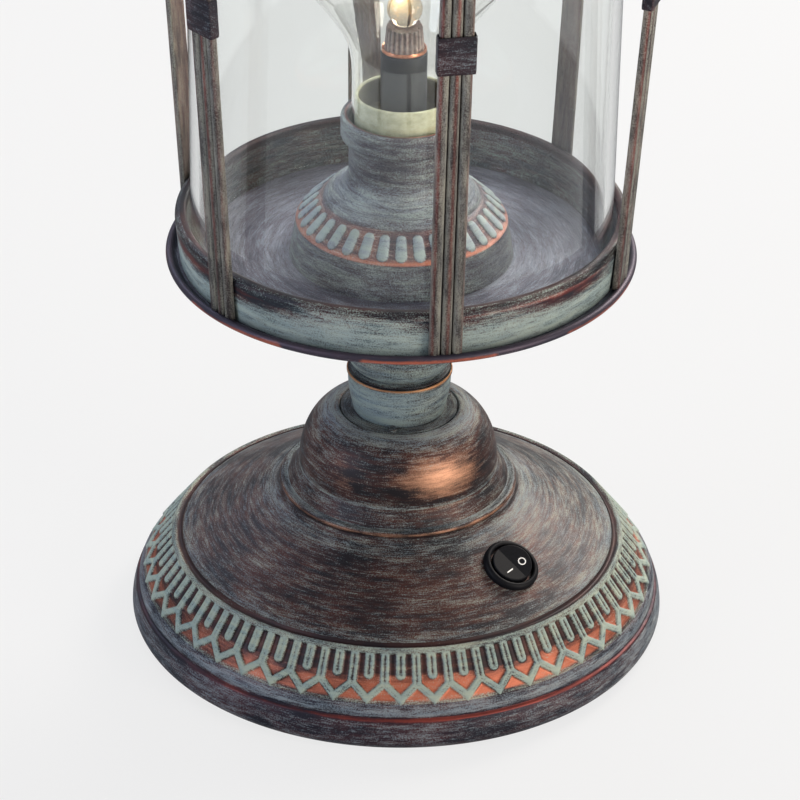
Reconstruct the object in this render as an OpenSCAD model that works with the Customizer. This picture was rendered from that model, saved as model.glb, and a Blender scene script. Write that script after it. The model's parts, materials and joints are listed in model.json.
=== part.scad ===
// Lantern table lamp: a spun metal foot with an embossed border, a turned neck,
// a round tray with a gallery, six reeded posts round a glass cylinder, a fluted
// lampholder cover with a large clear bulb, and a lift-off domed roof.
// Millimetres, +Z up, origin at the middle of the underside of the felt.
// Azimuths are counted from the front (-Y) towards the right (+X).

/* [Base] */
// Widest radius of the foot, at its rim
base_r = 100; // [96:1:106]
// Thickness of the spun sheet of the foot
shell_t = 1.2; // [0.9:0.1:1.6]
// Thickness of the felt under the foot
felt_t = 1.0; // [0.8:0.1:2]
// Height of the plain rim
rim_h = 12.4; // [11.5:0.1:14]
// How far the rim swells
rim_bulge = 1.0; // [0.4:0.1:1.4]
// Step in from the rim to the smooth band above it
rim_step = 2.8; // [2.4:0.1:3.4]
// Height of the smooth band
band_h = 5.3; // [4.5:0.1:6.5]
// How far the smooth band leans in
band_in = 1.8; // [1.2:0.1:2.4]
// Height of the embossed border
border_h = 14.5; // [13.5:0.1:15.5]
// How far the embossed border leans in
border_in = 11.4; // [10.5:0.1:12.5]
// Width of the ring above the border
ring_w = 1.8; // [1.4:0.1:2.4]
// Rise of the plain cone
cone_h = 19; // [17:0.5:22]
// How far the plain cone runs in
cone_in = 35.5; // [33:0.5:37]
// How far the rolled lip turns in under the rim
lip_in = 5.4; // [5:0.1:8]

/* [Border] */
// Number of tongues round the border
tongues = 49; // [24:1:52]
// Azimuth of the first tongue
border_az = 1.3; // [0:0.1:7]
// How far the border stands out
relief = 0.9; // [0.5:0.1:1.2]
// Half the width of a tongue
tongue_r = 1.75; // [1.4:0.05:1.9]
// Half the width of a stem between two tongues
stem_r = 1.35; // [1.1:0.05:1.5]
// Half the width of the zigzag line
zig_r = 1.4; // [1.1:0.05:1.6]
// Height of the zigzag, low point to high point, along the slope
zig_rise = 5.4; // [4:0.1:6]

/* [Bell] */
// Radius of the bead at the foot of the bell
bead_r = 1.1; // [0.8:0.1:1.4]
// Height of the flared foot of the bell
flare_h = 8.6; // [7:0.1:10]
// Radius of the bell at its widest
bell_r = 36.8; // [34:0.1:38]
// Height of the bell above its flared foot
bell_h = 21.6; // [19:0.1:24]
// Radius of the recess in the top of the bell
recess_r = 21.9; // [20.5:0.1:23]
// Depth of that recess
recess_d = 2.1; // [1.8:0.1:2.6]

/* [Neck] */
// Thickness of the disc in the recess
disc_t = 1.8; // [1.4:0.1:2.4]
// Number of round lugs on the disc
disc_lugs = 3; // [2:1:6]
// Foot radius of the neck ring
neck_foot_r = 17; // [15.5:0.1:18]
// Radius of the sharp copper edge of the neck ring
neck_edge_r = 19.5; // [18.5:0.1:20.5]
// Height of the neck ring
neck_ring_h = 16.5; // [14:0.1:18]
// Height of the turned vase above the neck ring
vase_h = 47.4; // [44:0.1:54]
// Radius of the vase at its waist
waist_r = 11; // [9.5:0.1:14]
// Radius of the vase where it carries the tray
vase_top_r = 25; // [20:0.5:30]

/* [Tray] */
// Thickness of the tray's sheet
tray_t = 1.2; // [1:0.1:1.6]
// Outer radius of the tray, over its rolled rim
tray_r = 84.9; // [84.2:0.1:87]
// Radius of the rolled rim's own section
roll_r = 1.5; // [1.3:0.1:1.5]

/* [Gallery] */
// Sheet of the gallery rings
gallery_t = 1.0; // [0.8:0.1:1.4]
// Height of the lower gallery ring
gallery_h = 17.2; // [15:0.1:20]
// Radius of the gallery's outer shoulder
shoulder_r = 81.4; // [81:0.1:81.8]
// How far the gallery's outer wall leans out
gallery_flare = 1.5; // [1:0.1:2]
// Width of the lip on top of the gallery
lip_w = 4.2; // [3.4:0.1:4.4]

/* [Posts] */
// Number of posts
posts = 6; // [6:1:6]
// Azimuth of the first post
first_az = 11; // [0:0.5:30]
// Width of a reeded post
post_w = 11.8; // [10.5:0.1:12.5]
// Depth of a post over its reeds
post_d = 2.6; // [2.2:0.1:3.2]
// Thickness of the web behind the reeds
web_t = 1.2; // [0.8:0.1:1.6]
// Outward lean of the posts, in degrees
lean = 3.5; // [2.5:0.1:3.6]
// Height from the tray's rim to the underside of the crown
post_h = 223; // [200:1:240]
// Wall of the collar round each post
collar_t = 0.6; // [0.5:0.1:1.2]
// Height of the collar
collar_h = 13.9; // [12:0.1:20]
// Height of the collar's foot above the foot of the post
collar_up = 108.5; // [90:0.5:120]

/* [Glass] */
// Outer radius of the glass cylinder
glass_r = 75.8; // [72:0.1:76]
// Thickness of the glass
glass_t = 3.2; // [2.6:0.1:4]
// Gap between the top of the glass and the crown
glass_gap = 3.8; // [1:0.1:8]

/* [Lampholder cover] */
// Radius of the cover's foot
cover_r = 40.4; // [38:0.1:42]
// Sheet of the cover
cover_t = 1.0; // [0.8:0.1:1.3]
// Height of the plain skirt
skirt_h = 13; // [11:0.1:15]
// How far the skirt leans in
skirt_in = 2.2; // [1.5:0.1:3]
// Rise of the fluted slope
flute_h = 8; // [7:0.1:9]
// How far the fluted slope runs in
flute_in = 8.6; // [8:0.1:9.5]
// Number of flutes
flutes = 34; // [20:1:38]
// Radius of a flute
flute_r = 1.7; // [1.3:0.05:1.9]
// Height of the brushed dome above the flutes
dome_h = 12.7; // [11:0.1:15]
// Outer radius of the cover's neck
cover_neck_r = 19.3; // [19:0.1:20]
// Height of the cover's neck
cover_neck_h = 11.1; // [10:0.1:13]
// Outer radius of the retaining ring on the neck
holder_ring_r = 22.2; // [21.5:0.1:23.5]
// Height of that ring
holder_ring_h = 9.3; // [8:0.1:10.5]

/* [Lampholder] */
// Outer radius of the lampholder's body
holder_r = 17.2; // [16.8:0.1:17.4]
// Depth of the lampholder's socket
socket_d = 26.6; // [26:0.1:28]
// Length of the lampholder's narrow lower end
spigot_h = 8.4; // [7:0.1:9]
// Thickness of the threaded shell inside the lampholder
holder_shell_t = 0.5; // [0.4:0.1:0.7]

/* [Bulb] */
// Radius of the bulb's screw cap
cap_r = 13.2; // [13:0.05:13.3]
// Height of the bulb's screw cap
cap_h = 19.5; // [18:0.1:21]
// Radius of the bulb's glass neck
bulb_neck_r = 18.3; // [17.5:0.1:18.6]
// Length of the straight part of the glass neck
bulb_neck_h = 20.5; // [18:0.1:24]
// Radius of the bulb's round end
bulb_r = 42; // [38:0.5:46]
// Height from the neck to the middle of the round end
bulb_flare_h = 60; // [56:0.5:64]
// Thickness of the bulb's glass
bulb_t = 0.8; // [0.6:0.1:1.2]
// Height of the pale cement ring in the neck
cement_h = 14.6; // [10:0.1:18]
// Radius of the dark pillar in the bulb
pillar_r = 8.2; // [7:0.1:9]
// Height of the dark pillar's top above the neck
pillar_h = 31.4; // [28:0.1:34]
// Radius of the glass ball on the pillar
ball_r = 6.4; // [5.5:0.1:7]
// Number of filament strips
filaments = 4; // [2:1:6]
// Length of a filament strip
filament_h = 40; // [30:0.5:42]

/* [Switch] */
// Radius of the switch's bezel
bezel_r = 11.5; // [11:0.1:13]
// Height of the bezel over the foot
bezel_h = 2.0; // [1.5:0.1:2.6]
// Radius of the hole in the foot for the switch
panel_hole_r = 10; // [9.8:0.05:10.2]
// Radius of the rocker
rocker_r = 8; // [7.6:0.05:8.1]
// Tilt of the rocker either way, in degrees
rocker_tilt = 6.5; // [5:0.5:7]
// Azimuth of the switch
switch_az = 42.5; // [30:0.5:60]
// Place of the switch along the cone, from its lower edge
switch_up = 23.2; // [20:0.1:26]

/* [Crown] */
// How far the crown's rolled rim stands out past the posts
crown_over = 3.4; // [3:0.1:6]
// Radius of the opening that the bulb comes out through
crown_open_r = 50; // [48:0.5:56]
// Height of the ring that hangs round the glass's top
crown_ring_h = 14; // [11:0.1:16]
// Step in from the crown's rim to the collar that locates the roof
roof_seat_in = 13.4; // [10:0.1:16]
// Height of that collar
roof_seat_h = 6; // [5:0.1:8]

/* [Roof] */
// Sheet of the roof
roof_t = 1.2; // [1:0.1:1.5]
// Height of the roof's upright skirt
roof_skirt_h = 9; // [8:0.1:12]
// Height of the roof's hollow sweep
sweep_h = 14; // [11:0.5:18]
// Radius where the sweep meets the dome
dome_r = 58; // [54:0.5:62]
// Height of the dome
roof_dome_h = 22; // [18:0.5:26]
// Radius of the chimney
chimney_r = 22; // [20:0.1:25]
// Height of the chimney
chimney_h = 16; // [14:0.1:20]
// Number of air holes in the chimney
chimney_holes = 8; // [6:1:10]
// Radius of an air hole
air_hole_r = 4; // [3:0.1:4.5]
// Radius of the chimney's cap
hood_r = 31; // [28:0.5:34]
// Height of the chimney's cap
hood_h = 11; // [9:0.1:13]
// Height of the knob
knob_h = 27; // [24:0.1:32]
// Radius of the knob's ball
knob_r = 8.5; // [7.5:0.1:10]

/* [Inside] */
// Outer radius of the hollow screwed tube through the lamp
tube_r = 4.95; // [4.9:0.01:5]
// Bore of that tube
tube_bore_r = 3.5; // [3.2:0.1:3.8]
// Width across the flats of the nuts on the tube
nut_af = 17; // [15:0.5:18]
// Thickness of the nuts on the tube
nut_t = 5; // [4:0.1:6]
// Radius of the washer under the bell's top
washer_r = 13; // [12:0.5:16]
// Thickness of that washer
washer_t = 2; // [1.5:0.1:2.5]
// Thickness of the bottom plate
plate_t = 1.2; // [1:0.1:1.6]
// Inner radius of the iron weight
weight_in_r = 30; // [26:1:36]
// Radial gap between the iron weight and the foot
weight_gap = 2.4; // [2:0.1:4]
// Thickness of the iron weight
weight_t = 9.6; // [8:0.1:10]
// Bore of the cable bush
bush_bore_r = 3.6; // [3:0.1:3.6]
// Height of the cable bush's middle above the table
bush_z = 7.4; // [7:0.1:7.8]
// Radius of a wire over its insulation
wire_r = 1.1; // [0.9:0.05:1.2]

/* [Clearances] */
// Gap between pieces that slip into one another
slip = 0.3; // [0.2:0.05:0.4]
// Radial clearance of the tube in the pieces it runs through
tube_fit = 0.05; // [0.02:0.01:0.1]
// Radial clearance of the rocker's pins
pin_fit = 0.05; // [0.02:0.01:0.1]
// Gap between the roof and the crown it rests on
seat_gap = 0.2; // [0.1:0.05:0.3]

/* [Hidden] */
$fn = 96;
CURVE = 7;     // stretches in a curved outline
SMALL = 32;    // facets round small pins, lugs and wires
THROUGH = 12;  // length of a cut that goes right through a wall

// Heights, from the table up
rim_z = felt_t;
band_z = rim_z + rim_h;
border_z = band_z + band_h;
border_top_z = border_z + border_h;
cone_z = border_top_z + 2.4;
cone_top_z = cone_z + cone_h;
bead_z = cone_top_z + 2.8;
flare_z = bead_z + bead_r;
bell_z = flare_z + flare_h - 1;
bell_top_z = bell_z + bell_h;
recess_z = bell_top_z - recess_d;
neck_z = recess_z + disc_t;
vase_z = neck_z + neck_ring_h;
tray_z = vase_z + vase_h;
floor_z = tray_z + tray_t;
roll_z = floor_z + 0.3;
foot_z = roll_z + roll_r;
crown_z = foot_z + post_h;
crown_top_z = crown_z + tray_t;
roof_z = crown_top_z + seat_gap;
glass_h = crown_z - floor_z - glass_gap;

// Radii of the foot's outline
lip_r = base_r - lip_in;
band_r = base_r - rim_step;
border_r = band_r - band_in;
border_top_r = border_r - border_in;
cone_r = border_top_r - ring_w - 1.2;
cone_top_r = cone_r - cone_in;
bead_out_r = cone_top_r - 2.6;
flare_r = bead_out_r - 0.9;

// Lengths and slopes worked out once
border_len = norm([border_in, border_h]);
border_tilt = atan2(border_in, border_h);
cone_slope = atan2(cone_h, cone_in);
flute_len = norm([flute_in, flute_h]);
tube_hole_r = tube_r + tube_fit;
glass_in_r = glass_r - glass_t;
gallery_in_r = shoulder_r - lip_w;
post_back_r = shoulder_r + 0.2 - (gallery_h - 3.9) * tan(lean);
crown_r = post_back_r + post_h * tan(lean) + post_d + crown_over;
roof_seat_r = crown_r - roof_seat_in;
tube_z = recess_z - shell_t - washer_t - nut_t - 3;
bush_neck_r = bush_bore_r + 1;
bush_flange_r = bush_neck_r + 0.4;
weight_out_r = base_r - shell_t - weight_gap;
weight_z = rim_z + shell_t;
weight_top_z = weight_z + weight_t;
screw_ring_r = weight_in_r + 30;
screw_r = 2;
screw_head_r = 3.6;
screw_short = 1.6;   // the screws end this far under the weight's top
notch_w = 14;        // notch in the weight's back, for a flex
notch_d = 14;

// The lampholder and its cover
skirt_z = floor_z + skirt_h;
flute_z = skirt_z + 0.6;
flute_top_z = flute_z + flute_h;
cover_neck_z = flute_top_z + dome_h;
ring_z = cover_neck_z + cover_neck_h;
holder_z = floor_z + nut_t;
holder_top_z = ring_z + 1.7;
socket_z = holder_top_z - socket_d;
tube_top_z = holder_z + 9;
flute_out_r = cover_r - skirt_in - 0.5;
flute_top_r = flute_out_r - flute_in;
strip_w = 3.2;
strip_t = 0.5;

// The bulb
bulb_z = ring_z + 2.6;
cap_z = bulb_z - cap_h - 0.4;
cap_contact_z = cap_z - 5.2;
cap_flange_t = 0.5;
sleeve_z = bulb_z + pillar_h;
ball_z = sleeve_z + 9;
bulb_mid_z = bulb_z + bulb_neck_h + bulb_flare_h;

// The switch stands on the cone, square to it
switch_r = cone_r - switch_up * cos(cone_slope);
switch_z = cone_z + switch_up * sin(cone_slope);
switch_turn = 9;
bezel_in_r = rocker_r + 0.7;
pivot_d = 2.4;
rocker_pin_r = 1.2;
switch_body_d = 13;
seat_h = 0.25;
seat_root = 0.7 * shell_t;   // the switch's seat stands this deep in the sheet
tab_h = 7;
tab_tip_d = switch_body_d + tab_h;

// The connector strip's place, and where the two cores stand in the tube and end above it
block_x = -34;
block_y = 52;
wire_x = 1.5;
wire_end_x = 6.5;
// Places that the cores pass on their way, chosen by hand
mains_route = [[-4, 18, 33], [24, -10, 31]];
switched_turn = [wire_x, -8, 40];
neutral_turn = [-8, 14, 40];

// The stud that holds the hood and the knob
stud_r = 2.5;
stud_hole_r = stud_r + tube_fit;
stud_drop = 8;       // the stud reaches this far under the hood's foot
stud_rise = 7.5;     // and this far into the knob

// The roof
sweep_z = roof_z + roof_skirt_h;
roof_dome_z = sweep_z + sweep_h;
chimney_z = roof_dome_z + roof_dome_h;
hood_z = chimney_z + chimney_h;
knob_z = hood_z + hood_h;
roof_skirt_r = roof_seat_r + slip + roof_t;

BASE_NODES = ["base_shell", "felt_pad", "bottom_plate", "base_weight", "plate_screws", "cable_bush",
    "terminal_block", "mains_wire", "switched_wire", "neutral_wire", "clamp_washer", "clamp_nut",
    "threaded_tube", "recess_disc", "neck_ring", "neck_vase", "tray", "lower_gallery", "tray_nut"];
HOLDER_NODES = ["holder_cover", "holder_ring", "holder_body", "holder_shell", "centre_contact"];
BULB_NODES = ["bulb_cap", "cap_insulator", "bulb_glass", "neck_cement", "bulb_pillar", "pillar_cap",
    "stem_ball", "filament_strips"];
SWITCH_NODES = ["switch_housing", "switch_rocker", "switch_tabs"];
TOP_NODES = ["glass_cylinder", "crown_plate", "upper_gallery", "roof_seat"];
ROOF_NODES = ["roof", "chimney", "hood", "hood_bridge", "knob", "knob_stud"];

// ---- outlines, as lists of [radius, height] ----

// Points of an ellipse's arc
function arc(c, rx, rz, from, to, n = CURVE) =
    [for (i = [0:n]) let (a = from + (to - from) * i / n) c + [rx * cos(a), rz * sin(a)]];

// Points on the straight line from p to q that swells out by s in the direction d
function swell(p, q, s, d = [1, 0], n = CURVE) =
    [for (i = [0:n]) let (t = i / n) p + (q - p) * t + d * s * sin(180 * t)];

// The rim's bulge: fullest a third of the way up
function rim_outline() =
    [for (i = [0:CURVE]) let (t = i / CURVE)
        [base_r - rim_bulge * pow(2 * t - 0.7, 2), rim_z + rim_h * t]];

// Outside of the foot, from the lip under the rim to the hole in the bell
function foot_outside() = concat(
    [[lip_r, rim_z]],
    rim_outline(),
    swell([band_r, band_z + 0.3], [border_r, border_z], 0.9),
    swell([border_top_r, border_top_z], [border_top_r - ring_w, border_top_z + 1.4], 0.5, [0.6, 0.8]),
    [[border_top_r - ring_w - 0.4, border_top_z + 1.1], [cone_r, cone_z]],
    [[cone_top_r, cone_top_z], [cone_top_r - 1.2, cone_top_z + 1.2]],
    arc([bead_out_r, bead_z], bead_r, bead_r, -30, 100),
    arc([flare_r, bell_z], flare_r - bell_r, bell_z - flare_z, 270, 180),
    arc([recess_r, bell_z], bell_r - recess_r, bell_h, 8, 90, 10),
    [[recess_r, recess_z], [tube_hole_r, recess_z]]);

// Inside of the foot, back down from that hole to the lip
function foot_inside() = let (
        under = recess_z - shell_t,
        rise = bell_h - shell_t,
        reach = bell_r - recess_r - shell_t,
        top_a = asin((under - bell_z) / rise),
        n = [sin(cone_slope), cos(cone_slope)] * shell_t,
        b = [cos(border_tilt), sin(border_tilt)] * shell_t)
    concat(
    [[tube_hole_r, under]],
    arc([recess_r, bell_z], reach, rise, top_a, 0, 8),
    arc([flare_r, bell_z], flare_r - bell_r + shell_t, bell_z - flare_z + shell_t, 180, 262),
    [[cone_top_r, cone_top_z] - n, [cone_r, cone_z] - n],
    [[cone_r, border_top_z - 0.2], [border_top_r, border_top_z] - b, [border_r, border_z] - b],
    [[band_r - shell_t - 0.6, band_z + 1], [base_r - shell_t - 1.6, band_z - 1.2]],
    [[base_r - shell_t - 0.5, rim_z + rim_h / 2], [base_r - shell_t - 0.6, rim_z + shell_t]],
    [[lip_r, rim_z + shell_t]]);

// Outside of the turned vase: full below, narrow at the waist, spreading under the tray
function vase_outside() = let (h = vase_h, mid = vase_z + 0.5 * h)
    concat(
    [[tube_hole_r, vase_z], [neck_edge_r - 0.6, vase_z]],
    arc([waist_r, vase_z + 2], neck_edge_r - 0.4 - waist_r, mid - vase_z - 6, 0, 78),
    [[waist_r, mid - 2], [waist_r, mid + 1]],
    arc([vase_top_r, mid + 1], vase_top_r - waist_r, h / 2 - 5, 180, 92),
    [[vase_top_r + 1.5, tray_z - 3], [vase_top_r + 1.5, tray_z], [tube_hole_r, tray_z]]);

// Section of a gallery ring: an upside-down channel of height h with a rounded lip
function gallery_section(h, flare, t) = let (
        out = shoulder_r,
        shoulder_z = h - 2.4)
    concat(
    [[out - flare, 0]],
    arc([out - 2.4, shoulder_z], 2.4, 2.4, 0, 90, 5),
    arc([out - lip_w + 1.2, h - 1.2], 1.2, 1.2, 90, 180, 4),
    [[gallery_in_r, 0], [gallery_in_r + t, 0], [gallery_in_r + t, h - t - 0.6]],
    [[gallery_in_r + t + 0.6, h - t]],
    arc([out - 2.4, shoulder_z], 2.4 - t, 2.4 - t, 90, 0, 4),
    [[out - flare - t, 0]]);

// Outside and inside of the lampholder's cover
function cover_outside() = concat(
    [[cover_r, floor_z], [cover_r - skirt_in, skirt_z - 0.4]],
    [[cover_r - skirt_in + 0.3, skirt_z], [flute_out_r, flute_z]],
    [[flute_top_r, flute_top_z], [flute_top_r - 0.6, flute_top_z + 0.2]],
    arc([flute_top_r - 4.6, flute_top_z + 0.2], 3.6, 3.2, 0, 55, 4),
    arc([flute_top_r - 2.2, cover_neck_z], flute_top_r - 2.2 - cover_neck_r, dome_h - 3.2, 262, 180),
    [[cover_neck_r, ring_z]]);

function cover_inside() = concat(
    [[cover_neck_r - cover_t, ring_z], [cover_neck_r - cover_t, cover_neck_z - 1]],
    [[flute_top_r - 5, flute_top_z + 0.8], [flute_top_r - 2, flute_top_z - 1.2]],
    [[flute_out_r - 1.4, flute_z - 1.2], [cover_r - skirt_in - cover_t, skirt_z - 2]],
    [[cover_r - cover_t, floor_z]]);

// Outside of the bulb's glass, from its neck to its pole, and the same for any wall
function bulb_outline(w) = let (
        join = 35,
        r0 = bulb_r - w,
        low = [r0 * cos(join), bulb_mid_z - r0 * sin(join)],
        start = [bulb_neck_r - w, bulb_z + bulb_neck_h],
        pull = (low[1] - start[1]) * 0.5,
        c1 = start + [0, pull],
        c2 = low - [sin(join), cos(join)] * pull)
    concat(
    [[bulb_neck_r - w, bulb_z]],
    [for (i = [0:9]) let (t = i / 9) pow(1 - t, 3) * start + 3 * pow(1 - t, 2) * t * c1
        + 3 * (1 - t) * t * t * c2 + pow(t, 3) * low],
    arc([0, bulb_mid_z], r0, r0, -join + 8, 90, 12));

// Outside of the roof's metal, and the same sheet's inside
function roof_outside() = concat(
    [[roof_skirt_r, roof_z], [roof_skirt_r + 1, roof_z], [roof_skirt_r + 1.8, roof_z + 1]],
    [[roof_skirt_r + 1, roof_z + 2], [roof_skirt_r, roof_z + 2.4], [roof_skirt_r, sweep_z]],
    arc([roof_skirt_r, roof_dome_z], roof_skirt_r - dome_r - 1.5, sweep_h - 1, 264, 180),
    arc([dome_r, roof_dome_z + 0.8], 1.5, 1.5, -20, 120, 5),
    arc([chimney_r, roof_dome_z + 2], dome_r - chimney_r - 1.5, roof_dome_h - 2, 0, 90, 10));

function roof_inside() = concat(
    [[chimney_r - 4, chimney_z], [chimney_r - 4, chimney_z - roof_t]],
    arc([chimney_r, roof_dome_z + 2], dome_r - chimney_r - 1.5 - roof_t, roof_dome_h - 2 - roof_t, 90, 0, 10),
    arc([roof_skirt_r, roof_dome_z], roof_skirt_r - dome_r - 1.5 + roof_t, sweep_h - 1 + roof_t, 180, 264),
    [[roof_skirt_r - roof_t, sweep_z - roof_t], [roof_skirt_r - roof_t, roof_z]]);

// ---- building blocks ----

// Turns an outline round the lamp's axis
module turned(points) {
    rotate_extrude() polygon(points);
}

// A plain ring or tube
module ring(r_out, r_in, h, z = 0) {
    translate([0, 0, z]) difference() {
        cylinder(r = r_out, h = h);
        translate([0, 0, -1]) cylinder(r = r_in, h = h + 2);
    }
}

// Puts its children at azimuth a, with their own +X pointing outwards
module out_at(a, r = 0, z = 0) {
    rotate([0, 0, a - 90]) translate([r, 0, z]) children();
}

// A straight stretch of wire from p to q
module wire_piece(p, q, r) {
    d = q - p;
    translate(p) rotate([0, atan2(norm([d[0], d[1]]), d[2]), atan2(d[1], d[0])])
        cylinder(r = r, h = norm(d), $fn = SMALL);
}

// A wire along a list of points, with a slightly fuller ball at each bend
module wire(points, r) {
    for (i = [0:len(points) - 2]) wire_piece(points[i], points[i + 1], r);
    for (i = [1:len(points) - 2]) translate(points[i]) sphere(r = 1.06 * r, $fn = SMALL);
}

// A hexagon nut on the tube
module tube_nut(z) {
    translate([0, 0, z]) difference() {
        cylinder(d = nut_af / cos(30), h = nut_t, $fn = 6);
        translate([0, 0, -1]) cylinder(r = tube_hole_r, h = nut_t + 2);
    }
}

// The switch's own frame: origin on the cone, +Z square to it, +X down the slope
module on_switch() {
    out_at(switch_az, switch_r, switch_z) rotate([0, cone_slope, 0]) rotate([0, 0, switch_turn]) children();
}

// ---- the foot ----

// Frame on the border's slope: origin s up the slope, +Z up the slope, +X out of it
module on_border(a, s) {
    out_at(a, border_r, border_z) rotate([0, -border_tilt, 0]) translate([0, 0, s]) children();
}

// A flat-topped raised shape on the border, from its outline as [across, up the slope]
module border_relief(a, points) {
    on_border(a, 0) translate([-shell_t / 2, 0, 0]) rotate([90, 0, 90])
        linear_extrude(relief + shell_t / 2) polygon(points);
}

// A tongue, round below and open to the ring above
function tongue_outline(r, low, top) = concat(
    [for (i = [0:6]) let (a = 180 + 30 * i) [r * cos(a), low + r + r * sin(a)]],
    [[r, top], [-r, top]]);

// A stem that forks into two legs of the zigzag, down to the middles of the tongues either side
function fork_outline(half, low, peak, top) = let (
        rise = peak - low,
        len = norm([half, rise]),
        t = zig_r * len / half,
        k = rise / half,
        join = peak + t - stem_r * k,
        end = half + 0.2)
    [[stem_r, top], [-stem_r, top], [-stem_r, join], [-end, low + t], [-end, low - t],
     [0, peak - t], [end, low - t], [end, low + t], [stem_r, join]];

module border() {
    pitch = 360 / tongues;
    half = (border_r - 1.5) * tan(pitch / 2);
    low = zig_r * 1.4;
    peak = low + zig_rise;
    for (i = [0:tongues - 1]) {
        border_relief(border_az + i * pitch, tongue_outline(tongue_r, peak + 1.6, border_len + 0.2));
        border_relief(border_az + (i + 0.5) * pitch, fork_outline(half, low, peak, border_len + 0.2));
    }
}

module base_shell() {
    color([0.28, 0.22, 0.24]) difference() {
        union() {
            turned(concat(foot_outside(), foot_inside()));
            border();
            on_switch() translate([0, 0, -seat_root]) cylinder(r = bezel_r - slip, h = seat_root + seat_h);
        }
        on_switch() translate([0, 0, -THROUGH / 2]) cylinder(r = panel_hole_r, h = THROUGH);
        out_at(180, base_r - THROUGH / 2, bush_z) rotate([0, 90, 0])
            cylinder(r = bush_neck_r + slip / 3, h = THROUGH);
    }
}

module felt_pad() {
    color([0.09, 0.12, 0.10]) cylinder(r = lip_r - 1.6, h = felt_t);
}

// Puts its children at the three plate screws
module at_screws(z) {
    for (a = [60, 180, 300]) out_at(a, screw_ring_r, z) children();
}

module bottom_plate() {
    color([0.45, 0.46, 0.48]) difference() {
        translate([0, 0, rim_z]) cylinder(r = lip_r - slip, h = plate_t);
        at_screws(rim_z - 0.01)
            cylinder(r1 = screw_head_r + slip, r2 = screw_r + slip, h = plate_t + 0.02, $fn = SMALL);
    }
}

module base_weight() {
    color([0.16, 0.16, 0.17]) difference() {
        ring(weight_out_r, weight_in_r, weight_t, weight_z);
        at_screws(0) cylinder(r = screw_r + pin_fit, h = weight_top_z + THROUGH, $fn = SMALL);
        translate([-notch_w / 2, weight_out_r - notch_d, 0])
            cube([notch_w, notch_d + THROUGH, weight_top_z + THROUGH]);
    }
}

// Countersunk screws that hold the bottom plate to the weight
module plate_screws() {
    color([0.62, 0.62, 0.64]) at_screws(rim_z) {
        cylinder(r1 = screw_head_r, r2 = screw_r, h = plate_t, $fn = SMALL);
        translate([0, 0, plate_t]) cylinder(r = screw_r, h = weight_t - screw_short, $fn = SMALL);
    }
}

// Rubber bush in the back of the rim, where a flex would come in
module cable_bush() {
    inner_y = base_r - shell_t - 2.6;
    color([0.05, 0.05, 0.05]) difference() {
        translate([0, inner_y, bush_z]) rotate([-90, 0, 0]) {
            cylinder(r = bush_neck_r, h = base_r - inner_y + 1);
            cylinder(r = bush_flange_r, h = 0.6);
            translate([0, 0, base_r - inner_y + 0.1]) cylinder(r = bush_neck_r + 1.3, h = 1.4);
        }
        translate([0, inner_y - 1, bush_z]) rotate([-90, 0, 0]) cylinder(r = bush_bore_r, h = 12);
    }
}

// Connector strip on the weight, where the flex's cores would be joined
module terminal_block() {
    color([0.86, 0.85, 0.80]) translate([block_x, block_y, weight_top_z]) difference() {
        translate([-13, -7, 0]) cube([26, 14, 11]);
        for (x = [-8, 0, 8]) translate([x, 0, 4]) {
            translate([0, -8, 0]) rotate([-90, 0, 0]) cylinder(r = wire_r + pin_fit, h = 16, $fn = SMALL);
            translate([0, 0, 3]) cylinder(r = 1.5, h = 6, $fn = SMALL);
        }
    }
}

// Point on the way out of hole i of the connector strip, dy in front of its middle
function at_block(i, dy) = [block_x + 8 * i, block_y - dy, weight_top_z + 4];

// Point d below the cone under a tab of the switch (side -1 or 1), in the lamp's own frame
function at_tab(side, d) = let (
        u = 5 * side * [-sin(switch_turn), cos(switch_turn)],
        r = switch_r + u[0] * cos(cone_slope) - d * sin(cone_slope),
        z = switch_z - u[0] * sin(cone_slope) - d * cos(cone_slope),
        a = switch_az - 90)
    [r * cos(a) - u[1] * sin(a), r * sin(a) + u[1] * cos(a), z];

// Live core from the connector strip to the switch
module mains_wire() {
    color([0.45, 0.25, 0.12])
        wire(concat([at_block(1, 4), at_block(1, 18)], mains_route,
            [at_tab(1, tab_tip_d + 8), at_tab(1, tab_tip_d + wire_r)]), wire_r);
}

// Core from the switch up the tube to the lampholder's middle contact
module switched_wire() {
    color([0.55, 0.10, 0.08])
        wire([at_tab(-1, tab_tip_d + wire_r), at_tab(-1, tab_tip_d + 6), switched_turn,
            [wire_x, 0, tube_z - 5], [wire_x, 0, tube_top_z + 2],
            [wire_end_x, 0, socket_z - wire_r]], wire_r);
}

// Neutral core from the connector strip up the tube to the lampholder's shell
module neutral_wire() {
    color([0.10, 0.22, 0.55])
        wire([at_block(0, 4), at_block(0, 16), neutral_turn, [-wire_x, 0, tube_z - 5],
            [-wire_x, 0, tube_top_z + 2], [-wire_end_x, 0, socket_z - wire_r]], wire_r);
}

module clamp_washer() {
    color([0.62, 0.62, 0.64]) ring(washer_r, tube_hole_r, washer_t, recess_z - shell_t - washer_t);
}

module clamp_nut() {
    color([0.70, 0.60, 0.36]) tube_nut(recess_z - shell_t - washer_t - nut_t);
}

module threaded_tube() {
    color([0.70, 0.60, 0.36]) ring(tube_r, tube_bore_r, tube_top_z - tube_z, tube_z);
}

// ---- the neck ----

module recess_disc() {
    color([0.30, 0.36, 0.38]) difference() {
        union() {
            translate([0, 0, recess_z]) cylinder(r = recess_r - slip, h = disc_t);
            for (i = [0:disc_lugs - 1])
                out_at(i * 360 / disc_lugs - 7, neck_foot_r + 2.1, recess_z + 1)
                    cylinder(r = 1.7, h = disc_t, $fn = SMALL);
        }
        translate([0, 0, recess_z - 1]) cylinder(r = tube_hole_r, h = disc_t + 4);
    }
}

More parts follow.
